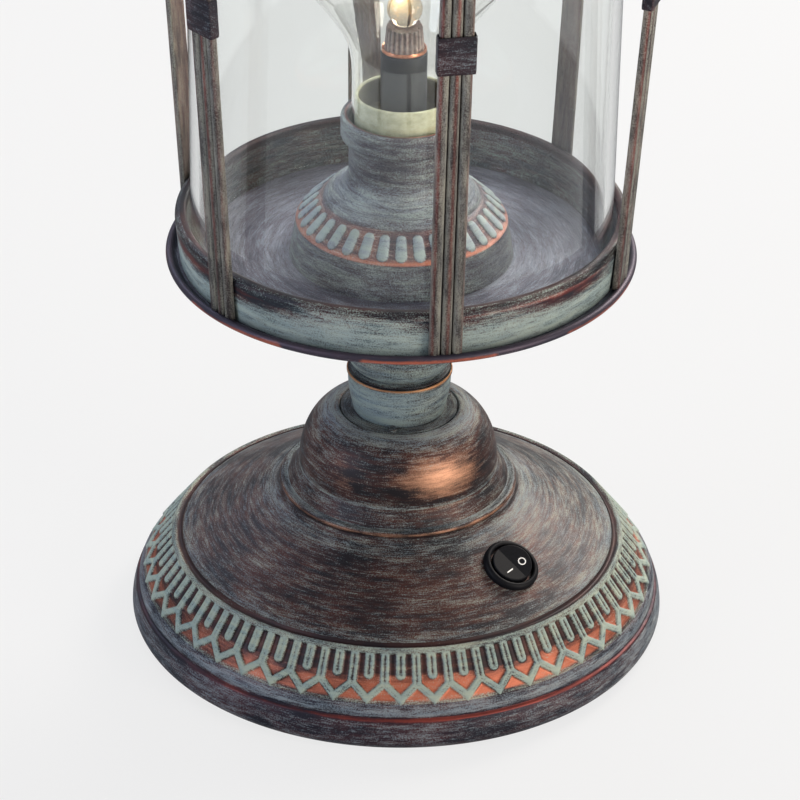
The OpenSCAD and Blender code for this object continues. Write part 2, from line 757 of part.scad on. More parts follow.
module neck_ring() {
    h = neck_ring_h;
    color([0.34, 0.40, 0.42]) turned(concat(
        [[tube_hole_r, neck_z], [neck_foot_r, neck_z]],
        [for (i = [1:5])
            [neck_foot_r + (neck_edge_r - 0.7 - neck_foot_r) * sin(18 * i), neck_z + (h - 2) * i / 5]],
        [[neck_edge_r, neck_z + h - 0.7], [neck_edge_r - 0.3, neck_z + h], [tube_hole_r, neck_z + h]]));
}

module neck_vase() {
    color([0.22, 0.23, 0.26]) turned(vase_outside());
}

// ---- the tray and its gallery ----

module tray() {
    color([0.36, 0.34, 0.40]) union() {
        ring(tray_r - roll_r, tube_hole_r, tray_t, tray_z);
        translate([0, 0, roll_z]) rotate_extrude()
            translate([tray_r - roll_r, 0]) circle(r = roll_r, $fn = SMALL);
    }
}

module lower_gallery() {
    color([0.52, 0.60, 0.58]) translate([0, 0, floor_z])
        turned(gallery_section(gallery_h, gallery_flare, gallery_t));
}

module tray_nut() {
    color([0.70, 0.60, 0.36]) tube_nut(floor_z);
}

// A reeded strip: three reeds on a web, its back at x = 0
module reeded_strip(h) {
    reed_r = post_w / 6 - 0.15;
    reed_x = post_d - reed_r;
    translate([0, -post_w / 2, 0]) cube([web_t, post_w, h]);
    for (i = [-1:1]) translate([0, i * post_w / 3, 0]) intersection() {
        translate([reed_x, 0, 0]) cylinder(r = reed_r, h = h, $fn = SMALL);
        translate([0, -post_w, 0]) cube([post_d + 1, 2 * post_w, h]);
    }
}

// Frame of post i: origin at the middle of its back's foot
module on_post(i) {
    out_at(first_az + (i - 1) * 360 / posts, post_back_r, foot_z) children();
}

// A post, with a tongue below that stands on the tray behind its rolled rim
module post(i) {
    color([0.36, 0.20, 0.22]) on_post(i) {
        intersection() {
            rotate([0, lean, 0]) translate([0, 0, -5]) reeded_strip(post_h + 12);
            translate([-30, -post_w, 0]) cube([90, 2 * post_w, post_h]);
        }
        translate([-0.1, -4, floor_z - foot_z]) cube([web_t - 0.1, 8, foot_z - floor_z + 0.6]);
    }
}

module collar(i) {
    gap = slip / 2;
    color([0.24, 0.24, 0.30]) on_post(i) rotate([0, lean, 0])
        translate([-gap - collar_t, -post_w / 2 - gap - collar_t, collar_up]) difference() {
            cube([post_d + 2 * (gap + collar_t), post_w + 2 * (gap + collar_t), collar_h]);
            translate([collar_t, collar_t, -1]) cube([post_d + 2 * gap, post_w + 2 * gap, collar_h + 2]);
        }
}

module glass_cylinder() {
    color([0.85, 0.90, 0.90, 0.3]) ring(glass_r, glass_in_r, glass_h, floor_z);
}

// ---- the lampholder ----

// One flute on the cover's slope: a bar with round ends
module flute(a) {
    inset = 1.9 + flute_r;
    out_at(a, flute_out_r, flute_z) rotate([0, -atan2(flute_in, flute_h), 0])
        translate([0.8 - flute_r, 0, inset]) {
            cylinder(r = flute_r, h = flute_len - 2 * inset, $fn = SMALL);
            sphere(r = flute_r, $fn = SMALL);
            translate([0, 0, flute_len - 2 * inset]) sphere(r = flute_r, $fn = SMALL);
        }
}

module holder_cover() {
    color([0.42, 0.40, 0.44]) union() {
        turned(concat(cover_outside(), cover_inside()));
        for (i = [0:flutes - 1]) flute(i * 360 / flutes);
    }
}

// Ring screwed on the lampholder, which holds its cover down
module holder_ring() {
    lower_in = holder_r + 0.1;
    upper_in = bulb_neck_r + 0.9;
    h = holder_ring_h;
    color([0.40, 0.36, 0.40]) turned([
        [lower_in, ring_z], [holder_ring_r - 0.6, ring_z], [holder_ring_r, ring_z + 0.6],
        [holder_ring_r, ring_z + h - 1], [holder_ring_r - 0.3, ring_z + h - 0.3],
        [holder_ring_r - 1, ring_z + h], [upper_in + 0.6, ring_z + h - 0.2], [upper_in, ring_z + h - 0.8],
        [upper_in, ring_z + 1.8], [lower_in, ring_z + 1.8]]);
}

module holder_body() {
    spigot_r = 11;
    cup_z = holder_z + spigot_h;
    color([0.88, 0.86, 0.80]) difference() {
        union() {
            translate([0, 0, holder_z]) cylinder(r = spigot_r, h = cup_z - holder_z + 1);
            translate([0, 0, cup_z]) cylinder(r = holder_r, h = holder_top_z - cup_z);
        }
        translate([0, 0, holder_z - 1]) cylinder(r = tube_hole_r, h = tube_top_z - holder_z + 1);
        translate([0, 0, tube_top_z - 0.5]) cylinder(r = tube_bore_r, h = 3);
        translate([0, 0, tube_top_z + 1]) cylinder(r = 9, h = socket_z - tube_top_z - 3);
        translate([-8.5, -2.4, tube_top_z + 1]) cube([17, 4.8, socket_z - tube_top_z]);
        translate([0, 0, socket_z]) cylinder(r = cap_r + holder_shell_t + 0.9, h = socket_d + 1);
    }
}

// Threaded shell of the socket, with a tab across the slot in the socket's floor
module holder_shell() {
    r_in = cap_r + 0.35;
    color([0.80, 0.68, 0.36]) {
        ring(r_in + holder_shell_t, r_in, socket_d - 3, socket_z);
        translate([-r_in - 0.2, -strip_w / 2, socket_z]) cube([r_in - 4, strip_w, strip_t]);
    }
}

// Strip at the bottom of the socket that the bulb's middle contact meets
module centre_contact() {
    color([0.80, 0.68, 0.36]) {
        translate([-1, -strip_w / 2, socket_z]) cube([13, strip_w, strip_t]);
        translate([-1, -strip_w / 2, socket_z]) cube([2, strip_w, cap_contact_z - socket_z - slip]);
    }
}

// ---- the bulb ----

module bulb_cap() {
    color([0.75, 0.75, 0.76]) turned([
        [0, cap_z], [9, cap_z], [cap_r - 1, cap_z + 2],
        for (i = [0:4]) each [[cap_r, cap_z + 2.6 + 3.1 * i], [cap_r - 0.9, cap_z + 4.1 + 3.1 * i]],
        [cap_r - 0.2, bulb_z - cap_flange_t], [bulb_neck_r - 0.2, bulb_z - cap_flange_t],
        [bulb_neck_r - 0.2, bulb_z], [0, bulb_z]]);
}

module cap_insulator() {
    z = cap_contact_z;
    color([0.06, 0.06, 0.07]) turned([
        [0, z], [2.4, z], [3.6, z + 0.8], [5.2, z + 1.8], [8.6, cap_z], [0, cap_z]]);
}

module bulb_glass() {
    color([0.92, 0.93, 0.90, 0.25]) turned(concat(bulb_outline(0), reverse(bulb_outline(bulb_t))));
}

function reverse(v) = [for (i = [len(v) - 1:-1:0]) v[i]];

// Pale cement that holds the glass in its cap
module neck_cement() {
    color([0.80, 0.80, 0.66]) ring(bulb_neck_r - bulb_t - 0.1, pillar_r + 4, cement_h, bulb_z);
}

module bulb_pillar() {
    color([0.24, 0.24, 0.30]) translate([0, 0, bulb_z]) cylinder(r = pillar_r, h = pillar_h);
}

// Copper ring and ribbed sleeve on top of the pillar
module pillar_cap() {
    z = sleeve_z;
    sleeve_r = pillar_r - 2.4;
    color([0.72, 0.45, 0.34]) turned([
        [0, z], [pillar_r - 0.4, z], [pillar_r - 0.2, z + 1.6], [pillar_r - 0.8, z + 3], [sleeve_r, z + 3.2],
        for (i = [0:2]) each [[sleeve_r, z + 3.4 + 2 * i], [sleeve_r - 0.6, z + 4.4 + 2 * i]],
        [sleeve_r - 1, z + 9], [0, z + 9]]);
}

// Glass ball that sits on the sleeve, drawn out into the stem
module stem_ball() {
    color([0.95, 0.85, 0.70, 0.6]) {
        difference() {
            translate([0, 0, ball_z + ball_r - 0.8]) sphere(r = ball_r);
            translate([-ball_r, -ball_r, ball_z - 3]) cube([2 * ball_r, 2 * ball_r, 3]);
        }
        translate([0, 0, ball_z + 2 * ball_r - 2]) cylinder(r1 = 3, r2 = 1.8, h = filament_h - 6);
    }
}

// Filament strips that stand round the stem on a little ring
module filament_strips() {
    z = ball_z + 2 * ball_r;
    color([0.98, 0.70, 0.25]) {
        ring(5.8, 3, 1, z);
        for (i = [0:filaments - 1]) out_at(i * 360 / filaments + 45, 4, z) rotate([0, 6, 0])
            translate([0.2, -0.8, 0]) cube([1.2, 1.6, filament_h - 6]);
    }
}

// ---- the switch ----

module switch_housing() {
    body_r = panel_hole_r - 0.2;
    cavity = pivot_d + 8;
    color([0.05, 0.05, 0.06]) on_switch() difference() {
        union() {
            translate([0, 0, -switch_body_d]) cylinder(r = body_r, h = switch_body_d + 1);
            turned([[0, seat_h], [bezel_r, seat_h], [bezel_r, 0.9], [bezel_r - 0.5, bezel_h - 0.4],
                [bezel_r - 1.3, bezel_h], [0, bezel_h]]);
        }
        translate([0, 0, bezel_h - cavity]) cylinder(r = bezel_in_r, h = cavity + 1);
        translate([-body_r + 0.5, 0, bezel_h - pivot_d]) rotate([0, 90, 0])
            cylinder(r = rocker_pin_r + pin_fit, h = 2 * body_r - 1, $fn = SMALL);
    }
}

// The rocker tips about pins that lie up the slope; at rest its low-azimuth side is pressed in
module switch_rocker() {
    color([0.04, 0.04, 0.05]) on_switch() translate([0, 0, bezel_h - pivot_d]) rotate([rocker_tilt, 0, 0]) {
        intersection() {
            translate([0, 0, -4]) cylinder(r = rocker_r, h = 10);
            rotate([0, 90, 0]) translate([0, 0, -rocker_r - 1])
                linear_extrude(2 * rocker_r + 2) polygon(rocker_side());
        }
        translate([-panel_hole_r + 0.9, 0, 0]) rotate([0, 90, 0])
            cylinder(r = rocker_pin_r, h = 2 * (panel_hole_r - 0.9), $fn = SMALL);
    }
}

// Side view of the rocker, as [depth, along]: a shallow V on top, a keel below
function rocker_side() = let (w = rocker_r + 1, edge = pivot_d + 1.1, dip = edge - w * tan(rocker_tilt))
    [[-edge, -w], [-dip, 0], [-edge, w], [3.4, w], [3.4, -w]];

module switch_tabs() {
    color([0.80, 0.78, 0.70]) on_switch() for (s = [-1, 1])
        translate([-0.4, s * 5 - 2.4, -tab_tip_d]) cube([0.8, 4.8, tab_h]);
}

// ---- the crown ----

module crown_plate() {
    color([0.36, 0.34, 0.40]) union() {
        ring(crown_r - roll_r, crown_open_r, tray_t, crown_z);
        translate([0, 0, crown_z + tray_t / 2]) rotate_extrude() translate([crown_r - roll_r, 0])
            circle(r = roll_r, $fn = SMALL);
        ring(crown_open_r + 1.6, crown_open_r, tray_t + 1.6, crown_z);
    }
}

module upper_gallery() {
    color([0.52, 0.60, 0.58]) translate([0, 0, crown_z]) mirror([0, 0, 1])
        turned(gallery_section(crown_ring_h, gallery_flare / 2, gallery_t));
}

module roof_seat() {
    color([0.36, 0.34, 0.40]) ring(roof_seat_r, roof_seat_r - 1.4, roof_seat_h, crown_top_z);
}

// ---- the roof ----

module roof() {
    color([0.28, 0.22, 0.24]) turned(concat(roof_outside(), roof_inside()));
}

module chimney() {
    color([0.40, 0.36, 0.40]) difference() {
        ring(chimney_r, chimney_r - roof_t, chimney_h, chimney_z);
        for (i = [0:chimney_holes - 1])
            out_at(i * 360 / chimney_holes, chimney_r - 5, chimney_z + chimney_h / 2) rotate([0, 90, 0])
                cylinder(r = air_hole_r, h = 10, $fn = SMALL);
    }
}

module hood() {
    r0 = hood_r;
    color([0.28, 0.22, 0.24]) turned(concat(
        [[chimney_r - 2, hood_z], [r0, hood_z], [r0 + 0.8, hood_z + 0.8]],
        arc([8, hood_z + 1.4], r0 - 8, hood_h - 1.4, 0, 90, 8),
        [[2.6, hood_z + hood_h], [2.6, hood_z + hood_h - roof_t]],
        arc([8, hood_z + 1.4], r0 - 8 - roof_t, hood_h - 1.4 - roof_t, 90, 8, 8),
        [[chimney_r - 2, hood_z + 1.4]]));
}

// Bar across the chimney that the knob's stud screws into
module hood_bridge() {
    z = hood_z - 4;
    color([0.62, 0.62, 0.64]) difference() {
        union() {
            translate([-chimney_r + roof_t + 0.4, -4, z]) cube([2 * (chimney_r - roof_t - 0.4), 8, 2]);
            translate([0, 0, z - 2]) cylinder(r = 5, h = 4);
        }
        translate([0, 0, z - 3]) cylinder(r = stud_hole_r, h = 7, $fn = SMALL);
    }
}

module knob() {
    z = knob_z;
    color([0.42, 0.34, 0.34]) turned(concat(
        [[stud_hole_r, z], [9, z], [9.6, z + 1.2], [8.4, z + 2.4], [5, z + 4], [3.8, z + 7]],
        arc([0, z + 8 + knob_r], knob_r, knob_r, -62, 72, 10),
        [[1.8, z + knob_h - 2], [1.8, z + knob_h - 1], [0, z + knob_h], [0, z + 9], [stud_hole_r, z + 8]]));
}

module knob_stud() {
    color([0.70, 0.60, 0.36]) translate([0, 0, hood_z - stud_drop])
        cylinder(r = stud_r, h = knob_z + stud_rise - hood_z + stud_drop, $fn = SMALL);
}

// ---- the parts, one node each ----

base_shell();
felt_pad();
bottom_plate();
base_weight();
plate_screws();
cable_bush();
terminal_block();
mains_wire();
switched_wire();
neutral_wire();
clamp_washer();
clamp_nut();
threaded_tube();
recess_disc();
neck_ring();
neck_vase();
tray();
lower_gallery();
tray_nut();
holder_cover();
holder_ring();
holder_body();
holder_shell();
centre_contact();
bulb_cap();
cap_insulator();
bulb_glass();
neck_cement();
bulb_pillar();
pillar_cap();
stem_ball();
filament_strips();
switch_housing();
switch_rocker();
switch_tabs();
glass_cylinder();
crown_plate();
upper_gallery();
roof_seat();
roof();
chimney();
hood();
hood_bridge();
knob();
knob_stud();
for (i = [1:posts]) post(i);
for (i = [1:posts]) collar(i);
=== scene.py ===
# %% [markdown]
# # A lantern table lamp, dressed for its portrait
#
# The lamp is a spun sheet-metal foot with an embossed border, a turned neck, a round tray with a
# gallery, six reeded posts round a glass cylinder, a fluted cover that holds a large clear bulb, and a
# domed roof that lifts off. The construction model gives every part's size and place. This script
# models the visible parts again with fine, soft-edged surfaces in the same places, and gives every
# part its finish: copper-coloured metal under a dark lacquer, brushed over with pale verdigris wax.
#
# We start by loading the construction model. Everything that follows is placed from it.

# %% Load the construction model
import json
import math

import bpy
import numpy as np
from mathutils import Matrix, Vector

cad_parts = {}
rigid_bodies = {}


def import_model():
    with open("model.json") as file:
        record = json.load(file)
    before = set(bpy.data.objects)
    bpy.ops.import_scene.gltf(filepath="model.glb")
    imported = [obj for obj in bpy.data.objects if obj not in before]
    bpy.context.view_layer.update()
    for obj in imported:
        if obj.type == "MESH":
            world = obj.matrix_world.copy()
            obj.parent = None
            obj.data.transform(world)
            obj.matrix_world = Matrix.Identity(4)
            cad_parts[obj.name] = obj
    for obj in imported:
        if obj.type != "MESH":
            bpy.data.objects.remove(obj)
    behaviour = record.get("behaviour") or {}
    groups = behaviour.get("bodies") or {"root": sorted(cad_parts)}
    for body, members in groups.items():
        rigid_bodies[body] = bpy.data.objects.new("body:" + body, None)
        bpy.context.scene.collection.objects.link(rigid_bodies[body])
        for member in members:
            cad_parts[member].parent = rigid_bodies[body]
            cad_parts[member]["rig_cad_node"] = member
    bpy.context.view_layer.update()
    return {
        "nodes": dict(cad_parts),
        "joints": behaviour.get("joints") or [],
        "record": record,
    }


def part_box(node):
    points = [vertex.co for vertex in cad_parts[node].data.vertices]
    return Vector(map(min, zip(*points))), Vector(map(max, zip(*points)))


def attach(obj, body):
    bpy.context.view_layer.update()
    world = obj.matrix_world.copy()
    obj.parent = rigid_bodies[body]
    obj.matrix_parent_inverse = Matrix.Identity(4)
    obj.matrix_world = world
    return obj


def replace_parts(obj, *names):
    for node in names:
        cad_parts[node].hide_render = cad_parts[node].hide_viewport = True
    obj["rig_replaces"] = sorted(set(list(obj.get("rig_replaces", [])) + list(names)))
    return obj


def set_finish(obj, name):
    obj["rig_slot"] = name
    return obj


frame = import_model()
MM = 0.001
print("parts in the construction model:", len(frame["nodes"]))

# %% [markdown]
# ## Camera
#
# The photograph looks down on the lamp by about thirty degrees, from well over a metre away, with a
# long lens: the sides of the foot hardly converge. The camera's tilt, its small roll and its distance
# were worked out from the ellipses of the rim, the bead, the neck and the tray, so they are real
# lengths and angles here.

# %% Camera
LENS = 168.75
DISTANCE = 1429 * MM
PITCH = math.radians(29.84)
ROLL = math.radians(0.84)
AIM_RIGHT = 0.32 * MM
AIM_UP = 77.5 * MM


def place_camera():
    """Stands the camera in front of the lamp, looking down along +Y at a point above the base."""
    level = Vector((1, 0, 0))
    ahead = Vector((0, math.cos(PITCH), -math.sin(PITCH)))
    above = Vector((0, math.sin(PITCH), math.cos(PITCH)))
    right = math.cos(ROLL) * level + math.sin(ROLL) * above
    up = -math.sin(ROLL) * level + math.cos(ROLL) * above
    data = bpy.data.cameras.new("camera")
    data.lens = LENS
    data.sensor_width = 36
    data.clip_end = 50
    camera = bpy.data.objects.new("camera", data)
    bpy.context.scene.collection.objects.link(camera)
    turn_to = Matrix((right, up, -ahead)).transposed().to_4x4()
    place = level * AIM_RIGHT + above * AIM_UP - ahead * DISTANCE
    camera.matrix_world = Matrix.Translation(place) @ turn_to
    bpy.context.scene.camera = camera
    return camera


print("camera stands at (mm):", [round(v / MM, 1) for v in place_camera().location])

# %% [markdown]
# ## Drawing an outline
#
# Nearly every part of this lamp was turned on a lathe or spun over a form, so it is a section swept
# round the middle axis. The section is drawn as a list of points, radius and height in millimetres.
# A few helpers give the stretches: a straight line, part of an ellipse, and a line that swells.
# Real sheet metal has no knife edges, so `eased` rounds the corners of a section by a small amount.

# %% Outline helpers


def line(p, q, n=8):
    """Points from p to q, both ends included."""
    return [(p[0] + (q[0] - p[0]) * i / n, p[1] + (q[1] - p[1]) * i / n) for i in range(n + 1)]


def arc(middle, across, up, start, end, n=14):
    """Points along an ellipse, from one angle to another in degrees."""
    angles = [math.radians(start + (end - start) * i / n) for i in range(n + 1)]
    return [(middle[0] + across * math.cos(a), middle[1] + up * math.sin(a)) for a in angles]


def swell(p, q, out, n=10):
    """A line from p to q that stands out to its right-hand side by `out` in the middle."""
    length = math.hypot(q[0] - p[0], q[1] - p[1])
    side = ((q[1] - p[1]) / length, -(q[0] - p[0]) / length)
    points = []
    for i, (x, y) in enumerate(line(p, q, n)):
        bow = out * math.sin(math.pi * i / n)
        points.append((x + side[0] * bow, y + side[1] * bow))
    return points


def eased(points, radius, steps=3, closed=True):
    """The same outline with every corner over 25 degrees rounded off."""
    result = []
    count = len(points)
    for i, here in enumerate(points):
        before, after = points[i - 1], points[(i + 1) % count]
        a = Vector((before[0] - here[0], before[1] - here[1]))
        b = Vector((after[0] - here[0], after[1] - here[1]))
        at_end = not closed and i in (0, count - 1)
        if at_end or a.length < 1e-6 or b.length < 1e-6 or math.degrees(a.angle(b)) > 155:
            result.append(here)
            continue
        cut = min(radius, 0.45 * a.length, 0.45 * b.length)
        corner = Vector(here)
        start, end = corner + a.normalized() * cut, corner + b.normalized() * cut
        for k in range(steps + 1):
            t = k / steps
            point = (1 - t) ** 2 * start + 2 * t * (1 - t) * corner + t * t * end
            result.append((point.x, point.y))
    return result


print("a quarter circle has", len(arc((0, 0), 1, 1, 0, 90)), "points")

# %% [markdown]
# ## Turning and extruding
#
# A lathe part could be a curve with a Screw modifier, or a mesh that is spun. Spinning gives a plain
# mesh at once: one vertex is pushed along the outline with the extrude operator, and the spin operator
# sweeps the finished line round the axis. Doubles are merged before the normals are turned outwards,
# because the seam and the poles have to be closed first.
#
# Straight parts, like the posts, use the same drawn line: it is filled with a face, and the face is
# extruded along the part's length.

# %% Modelling helpers


def draw(points):
    """Pushes one vertex along points in millimetres, and leaves the new line open in edit mode."""
    bpy.ops.object.select_all(action="DESELECT")
    bpy.ops.mesh.primitive_plane_add(size=0.01)
    piece = bpy.context.object
    bpy.ops.object.mode_set(mode="EDIT")
    bpy.ops.mesh.select_mode(type="VERT")
    bpy.ops.mesh.merge(type="CENTER")
    here = Vector(points[0]) * MM
    bpy.ops.transform.translate(value=here)
    for point in points[1:]:
        there = Vector(point) * MM
        bpy.ops.mesh.extrude_vertices_move(TRANSFORM_OT_translate={"value": there - here})
        here = there
    bpy.ops.mesh.select_all(action="SELECT")
    return piece


def close_up(piece, name, sharp=32):
    """Merges doubles, turns the faces outwards, leaves edit mode and shades the piece smooth."""
    bpy.ops.mesh.select_all(action="SELECT")
    bpy.ops.mesh.remove_doubles(threshold=1e-6)
    bpy.ops.mesh.normals_make_consistent(inside=False)
    bpy.ops.object.mode_set(mode="OBJECT")
    bpy.ops.object.shade_smooth_by_angle(angle=math.radians(sharp))
    piece.name = piece.data.name = name
    return piece


def turn(name, outline, steps=192, closed=True, sharp=32):
    """Spins an outline of (radius, height) round the lamp's axis."""
    loop = outline + outline[:1] if closed else outline
    piece = draw([(r, 0, z) for r, z in loop])
    bpy.ops.mesh.spin(
        steps=steps, angle=math.tau, center=(0, 0, 0), axis=(0, 0, 1), use_auto_merge=True)
    return close_up(piece, name, sharp)


def extrude(name, outline, along, sharp=32):
    """Fills an outline of (x, y) in the ground plane and extrudes it by a vector, in millimetres."""
    piece = draw([(x, y, 0) for x, y in outline + outline[:1]])
    bpy.ops.mesh.remove_doubles(threshold=1e-6)
    bpy.ops.mesh.edge_face_add()
    bpy.ops.mesh.extrude_region_move(TRANSFORM_OT_translate={"value": Vector(along) * MM})
    return close_up(piece, name, sharp)


def pick(*pieces):
    """Selects these pieces alone and makes the first one active."""
    bpy.ops.object.select_all(action="DESELECT")
    for piece in pieces:
        piece.select_set(True)
    bpy.context.view_layer.objects.active = pieces[0]


def shift(x, y, z):
    """The matrix of a move by x, y and z millimetres."""
    return Matrix.Translation((x * MM, y * MM, z * MM))


def modify(piece, kind, **settings):
    """Adds a modifier with its settings and applies it."""
    pick(piece)
    bpy.ops.object.modifier_add(type=kind)
    modifier = piece.modifiers[-1]
    for key, value in settings.items():
        setattr(modifier, key, value)
    bpy.ops.object.modifier_apply(modifier=modifier.name)
    return piece


def soften(piece, width, angle, segments=2):
    """Bevels the edges that are sharper than an angle."""
    return modify(piece, "BEVEL", width=width * MM, segments=segments, limit_method="ANGLE",
                  angle_limit=math.radians(angle))


def drill(piece, radius, depth, middle, turned=0):
    """Bores a round hole along y, or turned from it, through a point in metres."""
    bpy.ops.object.select_all(action="DESELECT")
    bpy.ops.mesh.primitive_cylinder_add(
        vertices=48, radius=radius * MM, depth=depth * MM, location=middle,
        rotation=(math.pi / 2, 0, turned))
    bit = bpy.context.object
    modify(piece, "BOOLEAN", operation="DIFFERENCE", object=bit, solver="EXACT")
    bpy.data.objects.remove(bit)


def copy_of(piece, name, matrix):
    """A copy with its own mesh, put in place in that mesh."""
    twin = piece.copy()
    twin.data = piece.data.copy()
    twin.name = twin.data.name = name
    bpy.context.scene.collection.objects.link(twin)
    twin.data.transform(matrix)
    return twin


def dress(piece, body, slot, *nodes):
    """The piece rides on a body, takes a finish and stands for the construction model's parts."""
    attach(piece, body)
    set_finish(piece, slot)
    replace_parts(piece, *nodes)
    return piece


def span(node):
    """Lowest height, highest height and widest radius of a part of the construction model, in mm."""
    low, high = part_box(node)
    return low.z / MM, high.z / MM, high.x / MM


print("the foot spans", [round(v, 2) for v in span("base_shell")])

# %% [markdown]
# ## Wear, painted shade and painted highlights, by rule
#
# The finish follows the shape: wax stays in hollows and on the raised ornament, and edges are rubbed
# back to copper. A painter would paint that by hand as vertex colours. Here a rule does it. For each
# point it gets the radius, the height and the azimuth, and gives back three amounts: verdigris, copper
# and shade. The shade amount is painted shade, laid in creases, grooves, slots and hollows. On many
# parts the copper and the wax also change round the axis: partly wear, and partly painted highlights
# and sheen where the lamps catch the metal, mostly towards the front right. The amounts are kept in an
# attribute named `finish`, and the materials read it.

# %% Painting helpers


def bump(value, middle, width):
    """1 at the middle, falling off to nothing on both sides."""
    return np.exp(-((value - middle) / width) ** 2)


def rise(value, start, end):
    """0 before start, 1 after end, with a smooth step between."""
    t = np.clip((value - start) / (end - start), 0, 1)
    return t * t * (3 - 2 * t)


def sector(azimuth, middle, width):
    """A bump round the axis, in degrees."""
    away = (azimuth - middle + 180) % 360 - 180
    return np.exp(-((away / width) ** 2))


def places(piece):
    """The points of a mesh, in millimetres."""
    flat = np.empty(len(piece.data.vertices) * 3, np.float32)
    piece.data.vertices.foreach_get("co", flat)
    return flat.reshape(-1, 3) / MM


def lathe_places(piece):
    """Radius, height and azimuth from the front of each point."""
    x, y, z = places(piece).T
    return np.hypot(x, y), z, np.degrees(np.arctan2(x, -y))


def up_slope(r, z, low, top):
    """Distance up a slope from its low point, and height above the slope."""
    run = np.array([top[0] - low[0], top[1] - low[1]]) / math.hypot(top[0] - low[0], top[1] - low[1])
    return ((r - low[0]) * run[0] + (z - low[1]) * run[1],
            (r - low[0]) * run[1] - (z - low[1]) * run[0])


def round_from(azimuth, r, count, first=0):
    """Distance round the lamp from the nearest of so many equal motifs."""
    pitch = 360 / count
    return np.radians((azimuth - first + pitch / 2) % pitch - pitch / 2) * r


def paint(piece, verdigris=0.0, copper=0.0, shade=0.0):
    """Writes the three amounts into the attribute that the materials read. The shade amount is painted
    shade.
    """
    count = len(piece.data.vertices)
    layer = piece.data.color_attributes.new("finish", "FLOAT_COLOR", "POINT")
    colours = np.ones((count, 4), np.float32)
    for column, amount in enumerate((verdigris, copper, shade)):
        colours[:, column] = amount
    layer.data.foreach_set("color", colours.ravel())
    return piece


print("the middle of a sector is", float(sector(np.array(30.0), 30, 10)))

# %% [markdown]
# ## The foot
#
# The real foot is one disc of sheet metal, spun over a form: a plain rim, a smooth band, a border that
# is embossed with a roller, a plain cone and a bell with a shallow recess in its top. It is modelled
# as three rings that meet in the creases, because the embossed border needs points half a millimetre
# apart and the rest doesn't.
#
# These sizes are the ones that the outlines need, in millimetres, as the construction model has them.

# %% Sizes of the foot
foot_low, foot_high, base_r = span("base_shell")
SHEET = 1.2
RIM_TOP = 13.4
BAND_TOP = 18.7
BORDER_TOP = 33.2
CONE_LOW = 35.6
CONE_TOP = 54.6
BEAD_Z = 57.4
BELL_Z = 66.1
RIM_TOP_R = 97.2
BAND_TOP_R = 95.4
BORDER_TOP_R = 84.0
CONE_LOW_R = 81.0
CONE_TOP_R = 45.5
BEAD_R = 42.9
BELL_R = 36.8
RECESS_R = 21.9
RECESS_D = 2.1
LIP_R = base_r - 5.4
TUBE_HOLE_R = 5
print("the foot is", round(2 * base_r, 1), "mm across and", round(foot_high, 1), "mm high")

# %% The rim and the smooth band
EDGE_W = 5.1
EDGE_H = 4.6
BUSH_HOLE_R = 4.65


def rim_outline():
    """Rolled lower edge, a side that is full in the middle, and the smooth band over it."""
    side = RIM_TOP - foot_low
    outline = [(LIP_R, foot_low)]
    outline += arc((base_r - EDGE_W, foot_low + EDGE_H), EDGE_W, EDGE_H, -90, -6, 12)
    outline += [(base_r - (2 * i / 16 - 0.7) ** 2, foot_low + side * i / 16) for i in range(6, 17)]
    outline += [(RIM_TOP_R + 0.5, RIM_TOP + 0.25)]
    outline += swell((RIM_TOP_R, RIM_TOP + 0.5), (BAND_TOP_R, BAND_TOP + 0.1), 0.8)
    outline += [(BAND_TOP_R - 1.3, BAND_TOP - 0.2), (RIM_TOP_R - 1.8, RIM_TOP + 1)]
    outline += [(base_r - 2.8, RIM_TOP - 1.2), (base_r - 1.7, 7.2), (base_r - 2.2, 4.4)]
    return eased(outline + [(base_r - 5, foot_low + SHEET), (LIP_R, foot_low + SHEET)], 0.35)


# Painted light on the rim: the copper line on the crease is heaviest towards the front right, partly
# wear and partly a painted highlight; the extra wax on the right side, and a little on the left, is a
# painted reflection; the shade near the bottom is painted shade near the floor.
def rim_paint(piece):
    z, azimuth = lathe_places(piece)[1:]
    edge = bump(z, RIM_TOP + 0.1, 0.6)
    front = 0.1 + 0.6 * sector(azimuth, 22, 45) + 0.3 * sector(azimuth, 200, 50)
    band = rise(z, RIM_TOP + 0.8, RIM_TOP + 1.6)
    wax = (1 - band) * (0.3 * sector(azimuth, 90, 40) + 0.14 * sector(azimuth, -80, 35))
    wax += band * (0.12 + 0.2 * bump(z, 15.9, 1.8)) - 0.5 * edge
    return paint(piece, wax, edge * front + 0.2 * band * rise(z, 16.8, 18.2), 0.3 * bump(z, 1.6, 1.5))


rim = dress(turn("foot_rim", rim_outline(), steps=300), "base", "patina_foot", "base_shell")
bush_low, bush_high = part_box("cable_bush")
bush_middle = (bush_low + bush_high) / 2
drill(rim, BUSH_HOLE_R, 20, (0, bush_middle.y, bush_middle.z))
rim_paint(rim)
print("rim points:", len(rim.data.vertices))

# %% [markdown]
# ## The embossed border
#
# A roller pressed a row of tongues between stems into the sheet, with a zigzag line below: its low
# points lie under the tongues and its peaks run into the stems. Along the middle of each tongue, stem
# and leg runs a fine groove. It could be modelled as one motif and copied, but then each motif would
# have to be stitched to the sheet. Embossing is a movement of the sheet itself, so the ring is spun
# with a fine mesh, every point gets a weight between 0 and 1 from the motif's measures, and a Displace
# modifier pushes it out along its normal by that weight.

# %% Measures of the border's motif
TONGUES = 49
FIRST_TONGUE = 1.3
RELIEF = 0.95
TONGUE_HALF = 1.75
STEM_HALF = 1.6
LEG_HALF = 1.3
LOW_POINT = 1.9
PEAK = 7.4
TONGUE_FOOT = 8.9
SLOT_TOP = 18.0
COLUMNS = 28
ROWS = 44
slope_length = math.hypot(BAND_TOP_R - BORDER_TOP_R, BORDER_TOP - BAND_TOP)
print("the border is", round(slope_length, 1), "mm wide up its slope")

